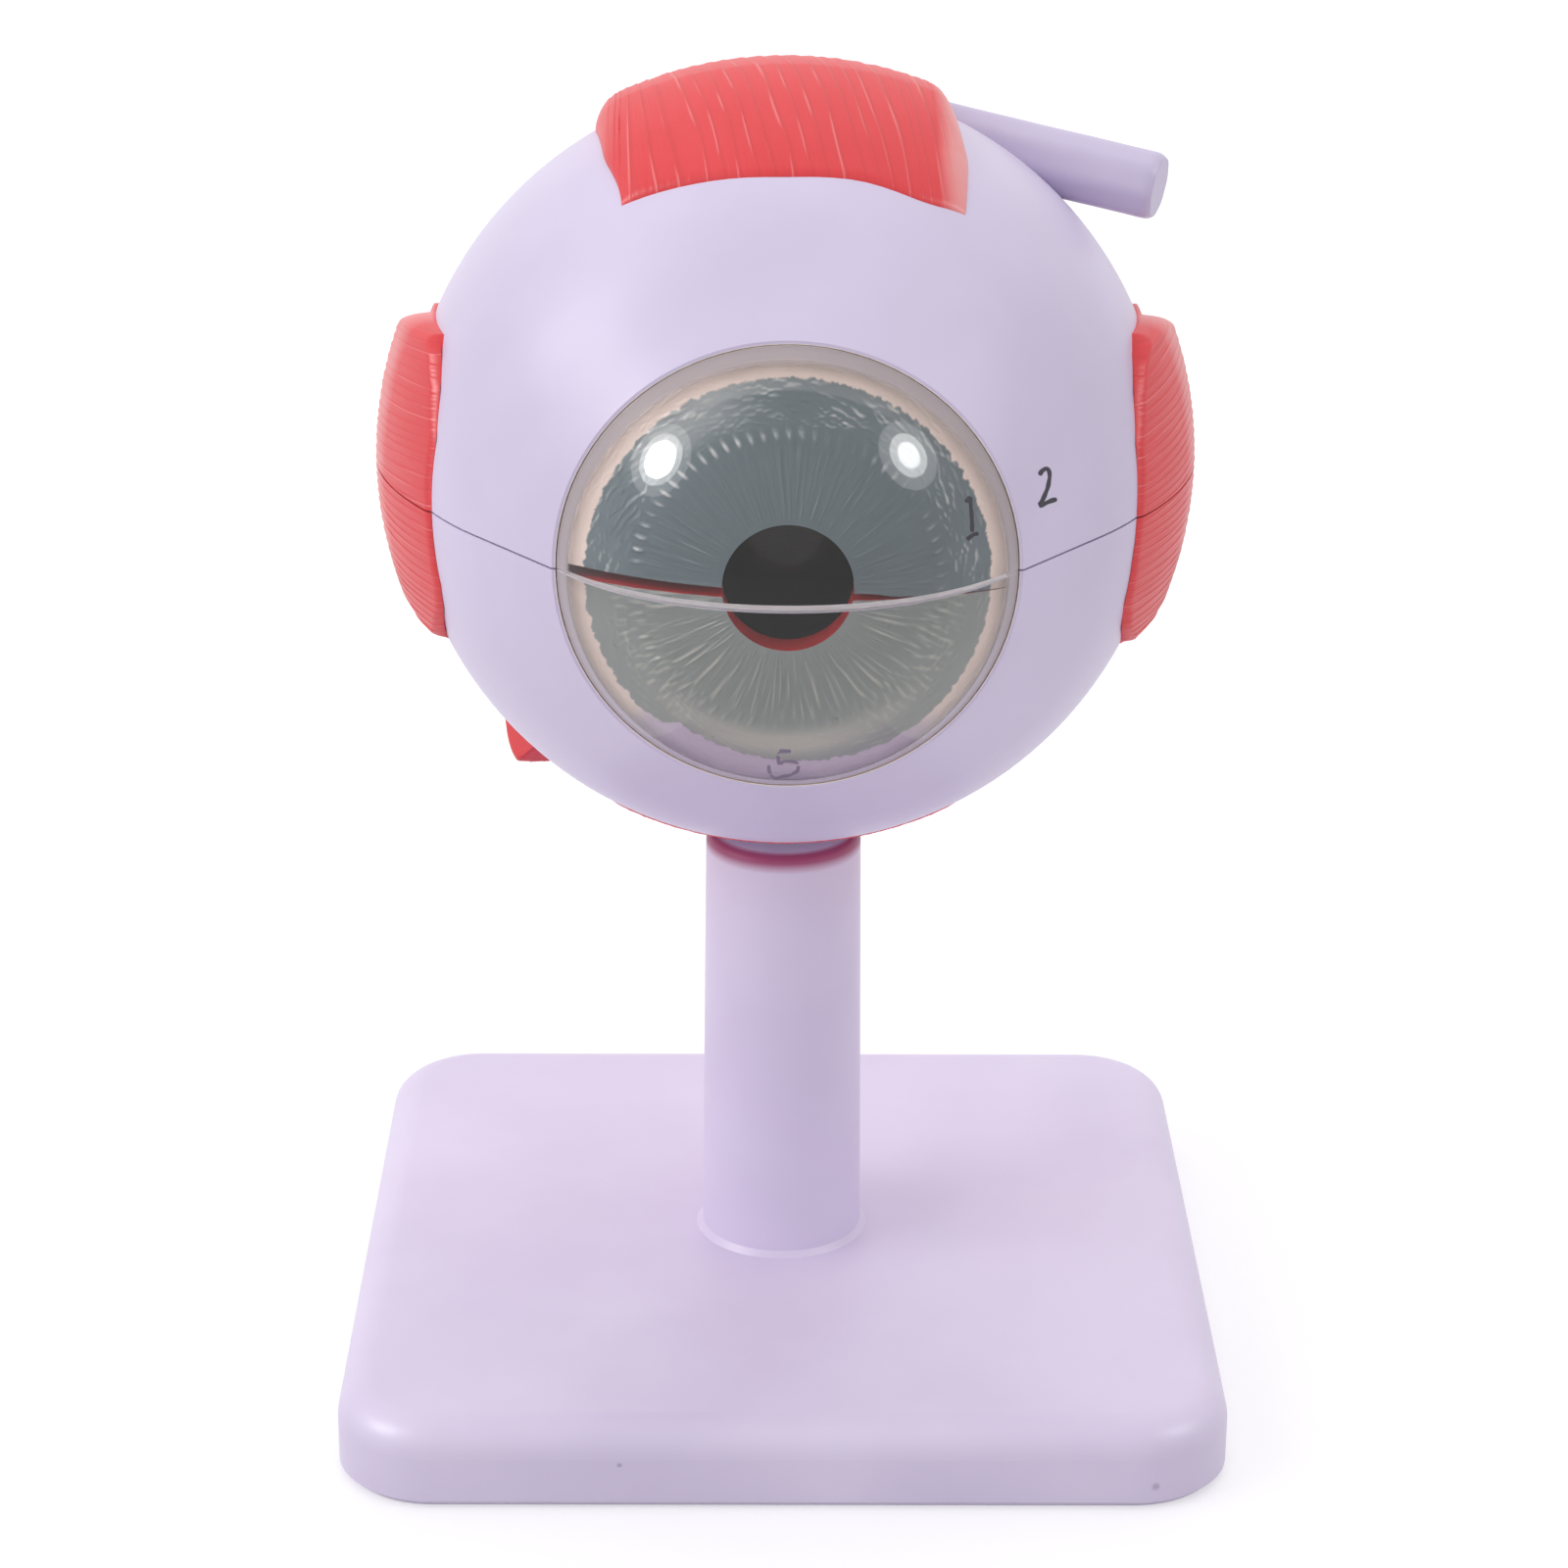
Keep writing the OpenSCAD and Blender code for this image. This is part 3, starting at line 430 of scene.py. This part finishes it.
def iris_half(name, node, body, side, cut, turn, front):
    """Half of the iris. Its profile (radius r, place y) goes out over the dome,
    y = -sqrt(IRIS_R^2 - r^2), down the rim, along the back and in again over the inner
    dome to the pupil's wall. It is carried round the optical axis between the two ends
    of the cut plane, z = cut, for each radius at the angle asin(cut / r), and turned a
    little, as the loose halves sit. The dome's face carries moulded fibres, a ring of
    beads and brush strokes as relief, and tone and cover for the paint."""
    n_dome, n_turn = 150, 520
    r_dome = PUPIL_R + (IRIS_RIM_R - PUPIL_R) * np.linspace(0, 1, n_dome)
    r_inner = np.linspace(IRIS_INNER_RIM_R, PUPIL_R, 14)
    r = np.concatenate([r_dome, np.full(5, IRIS_RIM_R), np.linspace(IRIS_RIM_R, IRIS_INNER_RIM_R, 4)[1:],
                        r_inner, np.full(5, PUPIL_R)])
    dome_end = -math.sqrt(IRIS_R ** 2 - IRIS_RIM_R ** 2)
    y = np.concatenate([-np.sqrt(IRIS_R ** 2 - r_dome ** 2), np.linspace(dome_end, IRIS_BACK_Y, 6)[1:],
                        np.full(3, IRIS_BACK_Y), -np.sqrt(IRIS_INNER_R ** 2 - r_inner ** 2),
                        np.linspace(-math.sqrt(IRIS_INNER_R ** 2 - PUPIL_R ** 2),
                                    -math.sqrt(IRIS_R ** 2 - PUPIL_R ** 2), 7)[1:-1]])
    start = np.arcsin(cut / r)
    # paint bridges the gap at the nasal side, so the upper half reaches further there
    nasal = np.arcsin((cut - 0.3 * step(r, 6.8, 10.0)) / r)
    start, end = (nasal, np.pi - start) if side > 0 else (-np.pi - start, start)
    t = np.linspace(0, 1, n_turn)[:, None]
    a = start + (end - start) * t
    rr = np.broadcast_to(r, a.shape)
    relief, tone, cover, lavender = iris_paint(rr, a, side)
    on_dome = np.arange(r.size) < n_dome
    lift = np.where(on_dome, relief * step(rr, PUPIL_R, PUPIL_R + 0.5) * step(IRIS_RIM_R - rr, 0, 0.4), 0)
    yy = y - lift
    x, z = rr * np.cos(a), rr * np.sin(a)
    x, z = x * math.cos(turn) + z * math.sin(turn), -x * math.sin(turn) + z * math.cos(turn)
    points = np.stack([x, yy, z], -1).reshape(-1, 3)
    quads = grid_quads(n_turn, r.size, True)
    column = np.tile(np.arange(r.size), n_turn - 1)
    # the rim is bare like the dome's edge
    indices = np.concatenate([(column >= n_dome + 4).astype(int), [1, 1]])
    caps = [np.arange(r.size), np.arange(r.size) + (n_turn - 1) * r.size]
    obj = solid(name, points, quads, caps, body, [front, RED_EDGE], indices, 35,
                {"tone": tone, "cover": cover, "lavender": lavender})
    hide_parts(node)


def iris_paint(r, a, side):
    """Relief in mm, tone of the paint, how far it covers and where the plastic beyond
    it is lavender, at radius r and angle a: fine radial fibres near the pupil, a ring
    of beads half way, and dabs of thin white paint outside it. The tone also holds painted highlights on the
    beads and under the lamps' glare."""
    arc = a * 13.0
    lower = side < 0
    fibre = waves(arc, r, 1.1, 14.0, 3) + 0.6 * waves(arc, r, 0.6, 9.0, 4)
    fine = waves(arc, r, 0.42, 11.0, 14) + 0.5 * waves(arc, r, 1.6, 16.0, 15)
    inner = step(r, 6.0, 7.0) * (1 - step(r, 12.2, 13.6))
    radial = np.clip(fibre, 0, 2)
    lean = a * BEADS + 0.9 * (r - BEAD_R) * (1 if lower else -1)
    beads = np.exp(-((r - BEAD_R) / 0.5) ** 2) * np.clip(np.cos(lean), 0, 1) ** 1.5
    beads = beads * np.clip(0.75 + 0.35 * waves(arc, r, 9.0, 9.0, 5), 0, 1)
    # painted highlight: the beads at the upper left catch the lamp and look white
    bead_glint = np.exp(-((a - 2.36) / 0.4) ** 2)
    outer = step(r, 13.9, 15.0)
    dabs = np.clip(waves(a * 17.0, r, 3.6, 0.8, 6) + 0.5 * waves(a * 17.0, r, 1.3, 0.6, 7), 0, 1.6)
    patch = np.clip(0.45 + 0.6 * waves(a * 17.0, r, 9.0, 5.0, 8), 0, 1)
    relief = (0.07 if lower else 0.04) * radial * inner + 0.26 * beads + 0.04 * dabs * outer
    if lower:
        down = a + np.pi / 2
        tone = 0.45 + 0.27 * inner * (radial - 0.35) * (0.3 + 0.7 * step(r, 6.5, 9.5))
        brushed = step(r, 11.5, 13.0) * (1 - step(r, 15.5, 17.0)) * step(np.abs(down), 0.35, 0.8)
        tone = tone + 0.26 * brushed * np.clip(waves(arc, r, 0.9, 3.0, 16), 0, 1.5) + 0.1 * beads
        # pale, thin paint in front of the bare crescent at the bottom
        pale = np.exp(-((r - 15.7) / 1.4) ** 2) * np.exp(-(down / 0.62) ** 2)
        tone = tone + 0.62 * pale + 0.12 * outer * dabs * patch
        edge = soft_table(np.degrees(down), ((-90, 18.4), (-44, 18.4), (-38, 18.1), (-34, 17.0), (-20, 17.1),
                                             (0, 17.5), (15, 17.9), (30, 18.3), (44, 18.5), (90, 18.4)), 1.2)
        lavender = step(np.degrees(down), -47, -39) * (1 - step(np.degrees(down), 36, 50))
    else:
        tone = 0.36 + 0.1 * inner * fine + 0.14 * inner * np.clip(fibre - 0.6, 0, 1)
        tone = tone + beads * (0.34 + 0.9 * bead_glint) + outer * (0.06 + 0.34 * dabs * patch)
        # a strip of thinned paint along the upper edge
        strip = step(r, 17.2, 17.6) * step(np.sin(a), 0.8, 0.95)
        # and a painted highlight where the lamps glare on the cornea: paler at the outer upper left, fainter
        # at the upper right
        lamp_glare = step(r, 13.5, 16.5) * (np.exp(-((a - 2.2) / 0.4) ** 2) + 0.4 * np.exp(-((a - 0.9) / 0.3) ** 2))
        tone = tone + 0.16 * strip + 0.26 * lamp_glare
        edge = 18.5 - 0.1 * step(np.abs(np.cos(a)), 0.55, 0.98)
        lavender = 0 * r
    ragged = 0.12 * waves(a * 19.0, 0 * r, 1.6, 1.0, 11) + 0.06 * waves(a * 19.0, 0 * r, 0.5, 1.0, 12)
    cover = 1 - step(r, edge + ragged - 0.05, edge + ragged + 0.09)
    return relief, np.clip(tone, 0, 1), cover, lavender


iris_half("iris_upper", "upper_iris", "inner_upper", 1, UPPER_CUT, UPPER_TURN, UPPER_IRIS)
iris_half("iris_lower", "lower_iris", "inner_lower", -1, LOWER_CUT, LOWER_TURN, LOWER_IRIS)


# ---------------------------------------------------------------------- muscles

def thinning(t, front_y):
    """Outer radius of a muscle of thickness t round the optical axis, as part.scad
    has it: the ball's sphere grown by t behind the equator, and ahead of it the arc
    that thins to 0.35 mm at front_y."""
    muscle_r = BALL_R + t
    shift = (muscle_r ** 2 - (BALL_R + 0.35) ** 2) / (2 * abs(front_y))
    thin_r = math.hypot(muscle_r, shift)

    def radius(y):
        ahead = np.clip(-y, 0, None)
        return np.where(y < 0, np.sqrt(thin_r ** 2 - (ahead + shift) ** 2), np.sqrt(muscle_r ** 2 - y ** 2))
    return radius


def shoulder(d, width):
    """Quarter-round rise from 0 at the edge to 1 at the given distance."""
    return np.sqrt(np.clip(1 - (1 - np.clip(d / width, 0, 1)) ** 2, 0, 1))


def muscle(name, node, body, turn, radius, left, right, front, back, lanes, pitch, widths, seed,
           rows=110, columns=230, hole=0.0, wall=0.0, painted_sheen=None, swell=None):
    """Grooved muscle on the ball, in a frame with x across, y backwards and z out.
    Its face is z = sqrt(R^2 - x^2), where R at each y rises from the ball's own radius
    by the muscle's thickness, times quarter-round shoulders along its edges, less the
    grooves: the lanes lie like shingles, each rising gently to a crest and dropping
    steeply to the next. The underside lies on the ball. Four widths give the shoulders
    at left, right, front and back, wall is the height at which they start, as a share
    of the thickness, hole is the room for the post, painted_sheen says where painted
    sheen makes the paint pale pink and swell adds thickness."""
    s = np.linspace(0, 1, rows)[:, None]
    t = np.linspace(0, 1, columns)[None, :]
    mid = front(0 * t + 0.5 * (left(0.0) + right(0.0)))
    y = mid + s * (back - mid)
    x = left(y) + t * (right(y) - left(y))
    y = y + (front(x) - mid) * (1 - s)
    ball = np.sqrt(BALL_R ** 2 - y ** 2)
    thick = radius(y) - ball + (swell(x, y) if swell else 0)
    edge = np.ones_like(thick)
    for d, width in ((x - left(y), widths[0]), (right(y) - x, widths[1]), (y - front(x), widths[2]),
                     (back - y, widths[3])):
        if width:
            edge = edge * (wall + (1 - wall) * shoulder(d, width))
    lane = lanes(x, y)
    phase = lane / pitch + 0.22 * waves(lane, 0 * y, 7.0, 1.0, seed)
    phase = phase + 0.05 * waves(x, y, 12.0, 26.0, seed + 1)
    saw = phase - np.floor(phase)
    ridge = saw ** 1.7 * (1 - step(saw, 0.91, 1.0))
    fine = 0.5 + 0.5 * waves(lane, y, 0.5, 16.0, seed + 2)
    strong = np.clip(0.85 + 0.22 * waves(x, y, 4.0, 26.0, seed + 3), 0.55, 1.0)
    depth = 0.13 * np.clip(thick / 1.2, 0.4, 1) * edge
    height = thick * edge - depth * strong * (1 - ridge) - 0.03 * (1 - fine) * edge
    if hole:
        away = np.hypot(x, y)
        height = np.where(away < hole, -0.4, height)
        height = np.where((away >= hole) & (away < hole + 1.2), height * shoulder(away - hole, 1.2), height)
    outer = ball + np.maximum(height, -0.4)
    z = np.sqrt(outer ** 2 - x ** 2)
    under = np.linspace(columns - 1, 0, 14).astype(int)
    x_under, y_under = x[:, under], y[:, under]
    floor = 0.45 if hole else 0.04
    z_under = np.sqrt((ball[:, under] - floor) ** 2 - x_under ** 2)
    grid = np.stack([np.hstack([x, x_under]), np.hstack([y, y_under]), np.hstack([z, z_under])], -1)
    loop = columns + under.size
    points = grid.reshape(-1, 3) @ np.asarray(turn, float).T
    field = np.hstack([np.clip(ridge * strong, 0, 1), np.zeros_like(x_under)])
    pale_tint = np.hstack([painted_sheen(x, y) if painted_sheen else np.zeros_like(x), np.zeros_like(x_under)])
    caps = [np.arange(loop), np.arange(loop) + (rows - 1) * loop]
    obj = solid(name, points, grid_quads(rows, loop, True), caps, body, [MUSCLE],
                angle=60, fields={"ridge": field, "pale_tint": pale_tint})
    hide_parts(node)


def bound(table, width=1.5):
    """Edge of a muscle through a table of points, with soft corners."""
    return lambda v: soft_table(v, table, width)


def straight(place):
    """Straight edge of a muscle at one place across it."""
    return bound(((-30, place), (30, place)))


# Edges of the upper muscle, as (y, x) along its sides and (x, y) along its front
SUPERIOR_LEFT = bound(((-20, -15.6), (-16.3, -16.0), (-9.8, -17.7), (2.3, -19.0), (25, -19.2)))
SUPERIOR_RIGHT = bound(((-20, 16.6), (-16.3, 17.0), (-10, 17.4), (-5, 17.0), (4, 16.4), (25, 15.4)))
SUPERIOR_FRONT = bound(((-17, -16.9), (-9.7, -17.7), (-0.4, -18.45), (7, -17.9), (13, -18.3), (17, -17.2)))


def slanted(x, y):
    """Lanes of the upper muscle: they swing to the nasal side towards the front, and
    lie closer together along its two sides."""
    squeezed = x + 4.5 * step(x, -19.5, -14.5) + 3.0 * step(x, 10.0, 17.5)
    return squeezed + 0.155 * step(x, -19, -8) * y + 0.03 * y


# the pale pink on its flanks is painted sheen
muscle("muscle_superior_rectus", "superior_rectus", "upper_shell", np.eye(3), thinning(TALL_T, 17.71),
       SUPERIOR_LEFT, SUPERIOR_RIGHT, SUPERIOR_FRONT, TALL_BACK, slanted, 1.65, (2.3, 2.3, 0.7, 1.4), 21,
       rows=116, columns=620,
       painted_sheen=lambda x, y: 0.8 * step(x, 13.5, 16.5) + 0.2 * (1 - step(x, -18.0, -15.5)))


def low_front(y):
    """Outer radius of the lower muscle: a film of paint on the ball ahead of the post,
    so that only slivers of it show, and full thickness behind it."""
    full = thinning(TALL_T, 16.01)(y)
    ball = np.sqrt(BALL_R ** 2 - y ** 2)
    return ball + (full - ball) * (0.12 + 0.88 * step(y, -9.0, 8.0)) + 0.1


muscle("muscle_inferior_rectus", "inferior_rectus", "lower_shell", np.diag((-1, 1, -1)), low_front,
       straight(-17.3), straight(17.3), bound(((-17, -12.4), (0, -13.6), (17, -12.4))), TALL_BACK,
       lambda x, y: x, 1.6, (2.4, 2.4, 0.5, 1.4), 31, rows=110, columns=420, hole=POST_ROOM_R)

# Front edges of the side muscles, as (z, y)
LATERAL_FRONT = bound(((-16.0, -8.0), (-15.6, -9.4), (-13.7, -12.1), (-10.5, -15.2), (-7.8, -16.4),
                       (-3.7, -16.7), (0.6, -16.7), (7.3, -16.5), (11.8, -14.6), (14.9, -11.6),
                       (15.1, -10.9), (16.0, -9.8)), 0.3)
MEDIAL_FRONT = bound(((-16.0, -9.0), (-15.4, -10.5), (-12.4, -15.0), (-9, -17.1), (-4.3, -17.8), (1, -17.7),
                      (7.2, -16.9), (11.9, -14.5), (14.1, -12.2), (15.2, -10.4), (16.0, -8.4)), 0.5)
# The side muscles get narrower towards the back, as (y, z) along their upper and lower edges
SIDE_TOP = bound(((-20, 16.0), (-1.5, 16.0), (6, 14.0), (12, 12.4), (25, 10.5)))
SIDE_BOTTOM = bound(((-20, -16.0), (-9, -15.4), (0, -14.2), (8, -12.4), (25, -10.0)))
for side, front, front_y, names in ((-1, LATERAL_FRONT, 16.74, "lateral_rectus"),
                                    (1, MEDIAL_FRONT, 17.83, "medial_rectus")):
    turned = ((0, 0, side), (0, 1, 0), (1, 0, 0))
    for half, body in ((1, "upper"), (-1, "lower")):
        low, high = (straight(SPLIT), SIDE_TOP) if half > 0 else (SIDE_BOTTOM, straight(-SPLIT))
        widths = (0, 1.1, 0.6, 1.4) if half > 0 else (1.1, 0, 0.6, 1.4)
        # the lines fall towards the back on the temporal side and rise on the nasal one
        # the pale pink on their rear parts is painted sheen
        muscle(f"muscle_{names}_{body}", f"{names}_{body}", f"{body}_shell", turned,
               thinning(SIDE_T, front_y), low, high, front, SIDE_BACK,
               lambda x, y, side=side: x - 0.1 * side * step(x, -3, 4) * y, 0.95, widths,
               41 + 2 * side + half, rows=116, columns=330, wall=0.15,
               painted_sheen=lambda x, y: 0.7 * step(y, -8.0, -1.0))


def turn_about(axis, degrees):
    """Matrix that turns points about an axis."""
    return np.array(Matrix.Rotation(math.radians(degrees), 3, axis))


OBLIQUE_TURN = turn_about("Z", 158.8) @ turn_about("Y", 134.4) @ turn_about("Z", 128.5)
# The corner that shows beside the ball is thicker than in the CAD, so that it reaches as
# far as in the photograph
muscle("muscle_inferior_oblique", "inferior_oblique", "lower_shell", OBLIQUE_TURN,
       lambda y: np.sqrt((BALL_R + OBLIQUE_T) ** 2 - y ** 2), straight(-OBLIQUE_HALF_W),
       straight(OBLIQUE_HALF_W), straight(-OBLIQUE_HALF_L), OBLIQUE_HALF_L, lambda x, y: x, 1.45,
       (0.7, 0.7, 0.6, 0.6), 61, rows=90, columns=220, wall=0.85,
       swell=lambda x, y: 1.9 * step(x, -1.0, OBLIQUE_HALF_W) * (1 - step(y, -9.0, -1.0)))


# ----------------------------------------------------------------------- tendon

def tendon():
    """Cast rod, nearly round with eight soft flats: a loop with radius
    r (0.986 + 0.014 cos(8a + 0.5)) and small random dents, carried along the straight
    line that part.scad gives, with a bevelled free end; the loop shrinks along the bevel
    and closes in a flat cap."""
    sides = 96
    end = np.array((37.3, 5.0, 27.4))
    place = turn_about("Z", -19.7) @ turn_about("Y", 8.7 - 90)
    length = 25.2
    along = np.concatenate([[0, 0.12, 0.35, 0.7], np.linspace(1.2, length, 40)])
    size = np.concatenate([[3.0, 3.12, 3.28, 3.42], np.full(40, 3.45)])
    a = np.linspace(0, 2 * np.pi, sides, endpoint=False)
    loop = 1 - 0.014 + 0.014 * np.cos(8 * a + 0.5)
    r = size[:, None] * loop[None, :] * (1 + 0.006 * waves(a[None, :] * 3.4, along[:, None], 6.0, 14.0, 71))
    grid = np.stack([r * np.cos(a), r * np.sin(a), np.broadcast_to(along[:, None], r.shape)], -1)
    points = grid.reshape(-1, 3) @ place.T + end
    caps = [np.arange(sides), np.arange(sides) + (along.size - 1) * sides]
    obj = solid("tendon_superior_oblique", points, grid_quads(along.size, sides, True), caps, "upper_shell",
                [TENDON], angle=32)
    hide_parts("superior_oblique")


tendon()


# ----------------------------------------------------------------------- camera

# The photograph's camera, found from the base plate's corners and the ball's outline
FOCAL_PX, FRAME_PX = 4209.758, 1600
PITCH, YAW, ROLL = math.radians(21.379), math.radians(0.437), math.radians(0.321)
CAMERA_AT = np.array((-3.031, -400.988, 216.844))
ahead = np.array((math.sin(YAW) * math.cos(PITCH), math.cos(YAW) * math.cos(PITCH), -math.sin(PITCH)))
level = np.array((math.cos(YAW), -math.sin(YAW), 0.0))
upright = np.cross(level, ahead)
right = math.cos(ROLL) * level + math.sin(ROLL) * upright
up = -math.sin(ROLL) * level + math.cos(ROLL) * upright

camera = bpy.data.objects.new("camera", bpy.data.cameras.new("camera"))
camera.data.sensor_width = 36
camera.data.lens = FOCAL_PX * 36 / FRAME_PX
camera.data.clip_start, camera.data.clip_end = 0.01, 20
camera.matrix_world = Matrix([[*row, CAMERA_AT[i] * MM] for i, row in
                              enumerate(np.stack([right, up, -ahead], 1).tolist())] + [[0, 0, 0, 1]])
bpy.context.scene.collection.objects.link(camera)
bpy.context.scene.camera = camera


# ----------------------------------------------------------------- drawn digits

def on_sphere(centre_y, radius):
    """Height of points above a sphere on the optical axis, and the way out of it."""
    def surface(p):
        q = p - np.array((0, centre_y, 0))
        size = np.linalg.norm(q, axis=-1)
        return size - radius, q / size[..., None]
    return surface


def on_limbus(p):
    """Height of points above the shell's straight part, and the way out of it."""
    slope = np.array((TOUCH_R - RIM_R, TOUCH_Y - RIM_Y)) / math.hypot(TOUCH_R - RIM_R, TOUCH_Y - RIM_Y)
    size = np.hypot(p[..., 0], p[..., 2])
    height = (size - RIM_R) * slope[1] - (p[..., 1] - RIM_Y) * slope[0]
    out = np.stack([p[..., 0] / size * slope[1], np.full(size.shape, -slope[0]),
                    p[..., 2] / size * slope[1]], -1)
    return height, out


def ink_strokes(name, strokes, centre, surface, width, body, mat):
    """Number drawn with a felt pen. Its strokes are given as they look from the front,
    in mm right and up from the number's centre, and laid straight back on the surface
    that carries them. Each is a closed flat ribbon with round ends, 0.03 mm proud."""
    points, quads, caps, first = [], [], [], 0
    for stroke in strokes:
        stroke = np.array(stroke, float)
        length = np.concatenate([[0], np.cumsum(np.hypot(*np.diff(stroke, axis=0).T))])
        s = np.linspace(0, length[-1], 40)
        u, v = (np.mean([np.interp(s + d, length, stroke[:, k]) for d in np.linspace(-0.22, 0.22, 7)], 0)
                for k in (0, 1))
        du, dv = np.gradient(u), np.gradient(v)
        norm = np.hypot(du, dv) + 1e-9
        near_end = np.clip(np.minimum(s, s[-1] - s) / (0.5 * width), 0, 1)
        round_end = np.sqrt(np.clip(1 - (1 - near_end) ** 2, 0.04, 1))
        half = 0.5 * width * round_end * (1 + 0.1 * np.sin(5 * s))
        ring = np.array(((-1, 0.0), (-0.6, 1), (0, 1.2), (0.6, 1), (1, 0.0), (0, -1.5)))
        uu = u[:, None] - dv[:, None] / norm[:, None] * half[:, None] * ring[:, 0]
        vv = v[:, None] + du[:, None] / norm[:, None] * half[:, None] * ring[:, 0]
        hit = np.array(centre) + uu[..., None] * right + vv[..., None] * up
        for _ in range(30):
            height, out = surface(hit)
            hit = hit - (height / (out @ ahead))[..., None] * ahead
        points.append((hit + 0.03 * ring[:, 1:] * out).reshape(-1, 3))
        quads.append(grid_quads(s.size, 6, True) + first)
        caps += [np.arange(6) + first, np.arange(6) + first + (s.size - 1) * 6]
        first += s.size * 6
    solid(name, np.concatenate(points), np.concatenate(quads), caps, body, [mat])


TWO = [((-0.87, 1.09), (-0.55, 1.6), (-0.08, 1.89), (0.19, 1.63), (0.22, 1.02), (0.04, 0.08), (-0.27, -0.7),
        (-0.59, -1.33), (-0.94, -1.72)), ((-0.94, -1.72), (-0.62, -1.66), (-0.08, -1.37), (0.47, -1.11),
                                          (1.02, -0.94))]
ONE = [((-0.66, 1.44), (-0.18, 2.07)), ((-0.18, 2.07), (-0.11, 1.02), (0, -0.16), (0.03, -1.3)),
       ((-0.53, -2.0), (-0.04, -1.57), (0.35, -1.33), (0.7, -1.38))]
FIVE = [((-0.6, 1.35), (0.6, 1.37)), ((-0.6, 1.35), (-0.6, 0.25)),
        ((-0.8, 0.25), (0, 0.4), (0.7, 0.45), (1.2, 0.2), (1.25, -0.2), (1.0, -0.6), (0.45, -0.85),
         (-0.3, -1.05), (-0.9, -1.25), (-1.3, -0.9), (-1.48, -0.4), (-1.45, 0.2))]
ink_strokes("digit_two", TWO, (24.42, -29.88, 6.77), on_limbus, 0.42, "upper_shell", INK)
ink_strokes("digit_one", ONE, (16.91, -38.64, 6.54), on_sphere(CORNEA_Y, CORNEA_R), 0.38, "upper_shell",
            INK)
ink_strokes("digit_five", FIVE, (-0.15, -35.0, -18.3), on_sphere(0, IRIS_R), 0.36, "inner_lower",
            FAINT_INK)


# ------------------------------------------------------------- floor and lights

def lamp(name, azimuth, elevation, distance, radius, power, mirrored):
    """Round studio lamp that faces the ball, by its direction seen from the ball. It
    either lights the object softly or is mirrored in the gloss as a small bulb."""
    az, el = math.radians(azimuth), math.radians(elevation)
    towards = np.array((math.sin(az) * math.cos(el), -math.cos(az) * math.cos(el), math.sin(el)))
    light = bpy.data.lights.new(name, "AREA")
    light.shape = "DISK"
    light.size = 2 * radius
    light.energy = power
    obj = bpy.data.objects.new(name, light)
    side = np.cross((0, 0, 1), towards)
    side /= np.linalg.norm(side)
    place = np.array((0, 0, BALL_Z * MM)) + distance * towards
    obj.matrix_world = Matrix([[*row, place[i]] for i, row in
                               enumerate(np.stack([side, np.cross(towards, side), towards], 1).tolist())]
                              + [[0, 0, 0, 1]])
    obj.visible_diffuse = not mirrored
    obj.visible_glossy = mirrored
    bpy.context.scene.collection.objects.link(obj)


def looked_at(tree):
    """1 on camera, glossy and transmission rays, so that gloss and clear pieces show the
    white surround that the camera sees, and 0 on the rays that light the object."""
    path = add(tree, "LightPath").outputs
    seen = add(tree, "Math", {0: path["Is Camera Ray"], 1: path["Is Glossy Ray"]},
               operation="MAXIMUM").outputs[0]
    return add(tree, "Math", {0: seen, 1: path["Is Transmission Ray"]}, operation="MAXIMUM").outputs[0]


# Each of the two mirrored lamps is a bright core with two softer rings behind it
lamp("lamp_left_core", -68.7, 32.0, 0.80, 0.100, 2.6, True)
lamp("lamp_left_halo", -68.7, 32.0, 0.81, 0.140, 1.2, True)
lamp("lamp_left_rim", -68.7, 32.0, 0.82, 0.200, 0.9, True)
lamp("lamp_right_core", 66.7, 34.8, 0.80, 0.070, 0.5, True)
lamp("lamp_right_halo", 66.7, 34.8, 0.81, 0.120, 1.0, True)
lamp("lamp_right_rim", 66.7, 34.8, 0.82, 0.190, 0.8, True)
lamp("lamp_side", -75.0, 30.0, 1.20, 0.500, 3.6, False)
lamp("lamp_overhead", 180.0, 62.0, 1.20, 0.600, 3.6, False)

world = bpy.data.worlds.new("white_studio")
world.use_nodes = True
world.node_tree.nodes.clear()
strength = add(world.node_tree, "MapRange", {0: looked_at(world.node_tree), 3: 0.80, 4: 1.0}).outputs[0]
surround = add(world.node_tree, "Background", {"Color": (1, 1, 1, 1), "Strength": strength}).outputs[0]
add(world.node_tree, "OutputWorld", {"Surface": surround})
bpy.context.scene.world = world

floor_mat, tree = new_material("white_studio_floor")
paper = add(tree, "BsdfDiffuse", {"Color": lin("#cfcdd1")}).outputs[0]
glow = add(tree, "Emission", {"Color": (1, 1, 1, 1), "Strength": 0.45}).outputs[0]
lifted = add(tree, "AddShader", {0: paper, 1: glow}).outputs[0]
shader = add(tree, "MixShader", {0: looked_at(tree), 1: paper, 2: lifted}).outputs[0]
add(tree, "OutputMaterial", {"Surface": shader})
floor_mesh = bpy.data.meshes.new("studio_floor")
floor_mesh.from_pydata([(-6, -6, 0), (6, -6, 0), (6, 6, 0), (-6, 6, 0)], [], [(0, 1, 2, 3)])
floor_mesh.materials.append(floor_mat)
floor = bpy.data.objects.new("studio_floor", floor_mesh)
bpy.context.scene.collection.objects.link(floor)

bpy.context.scene.view_settings.view_transform = "Standard"
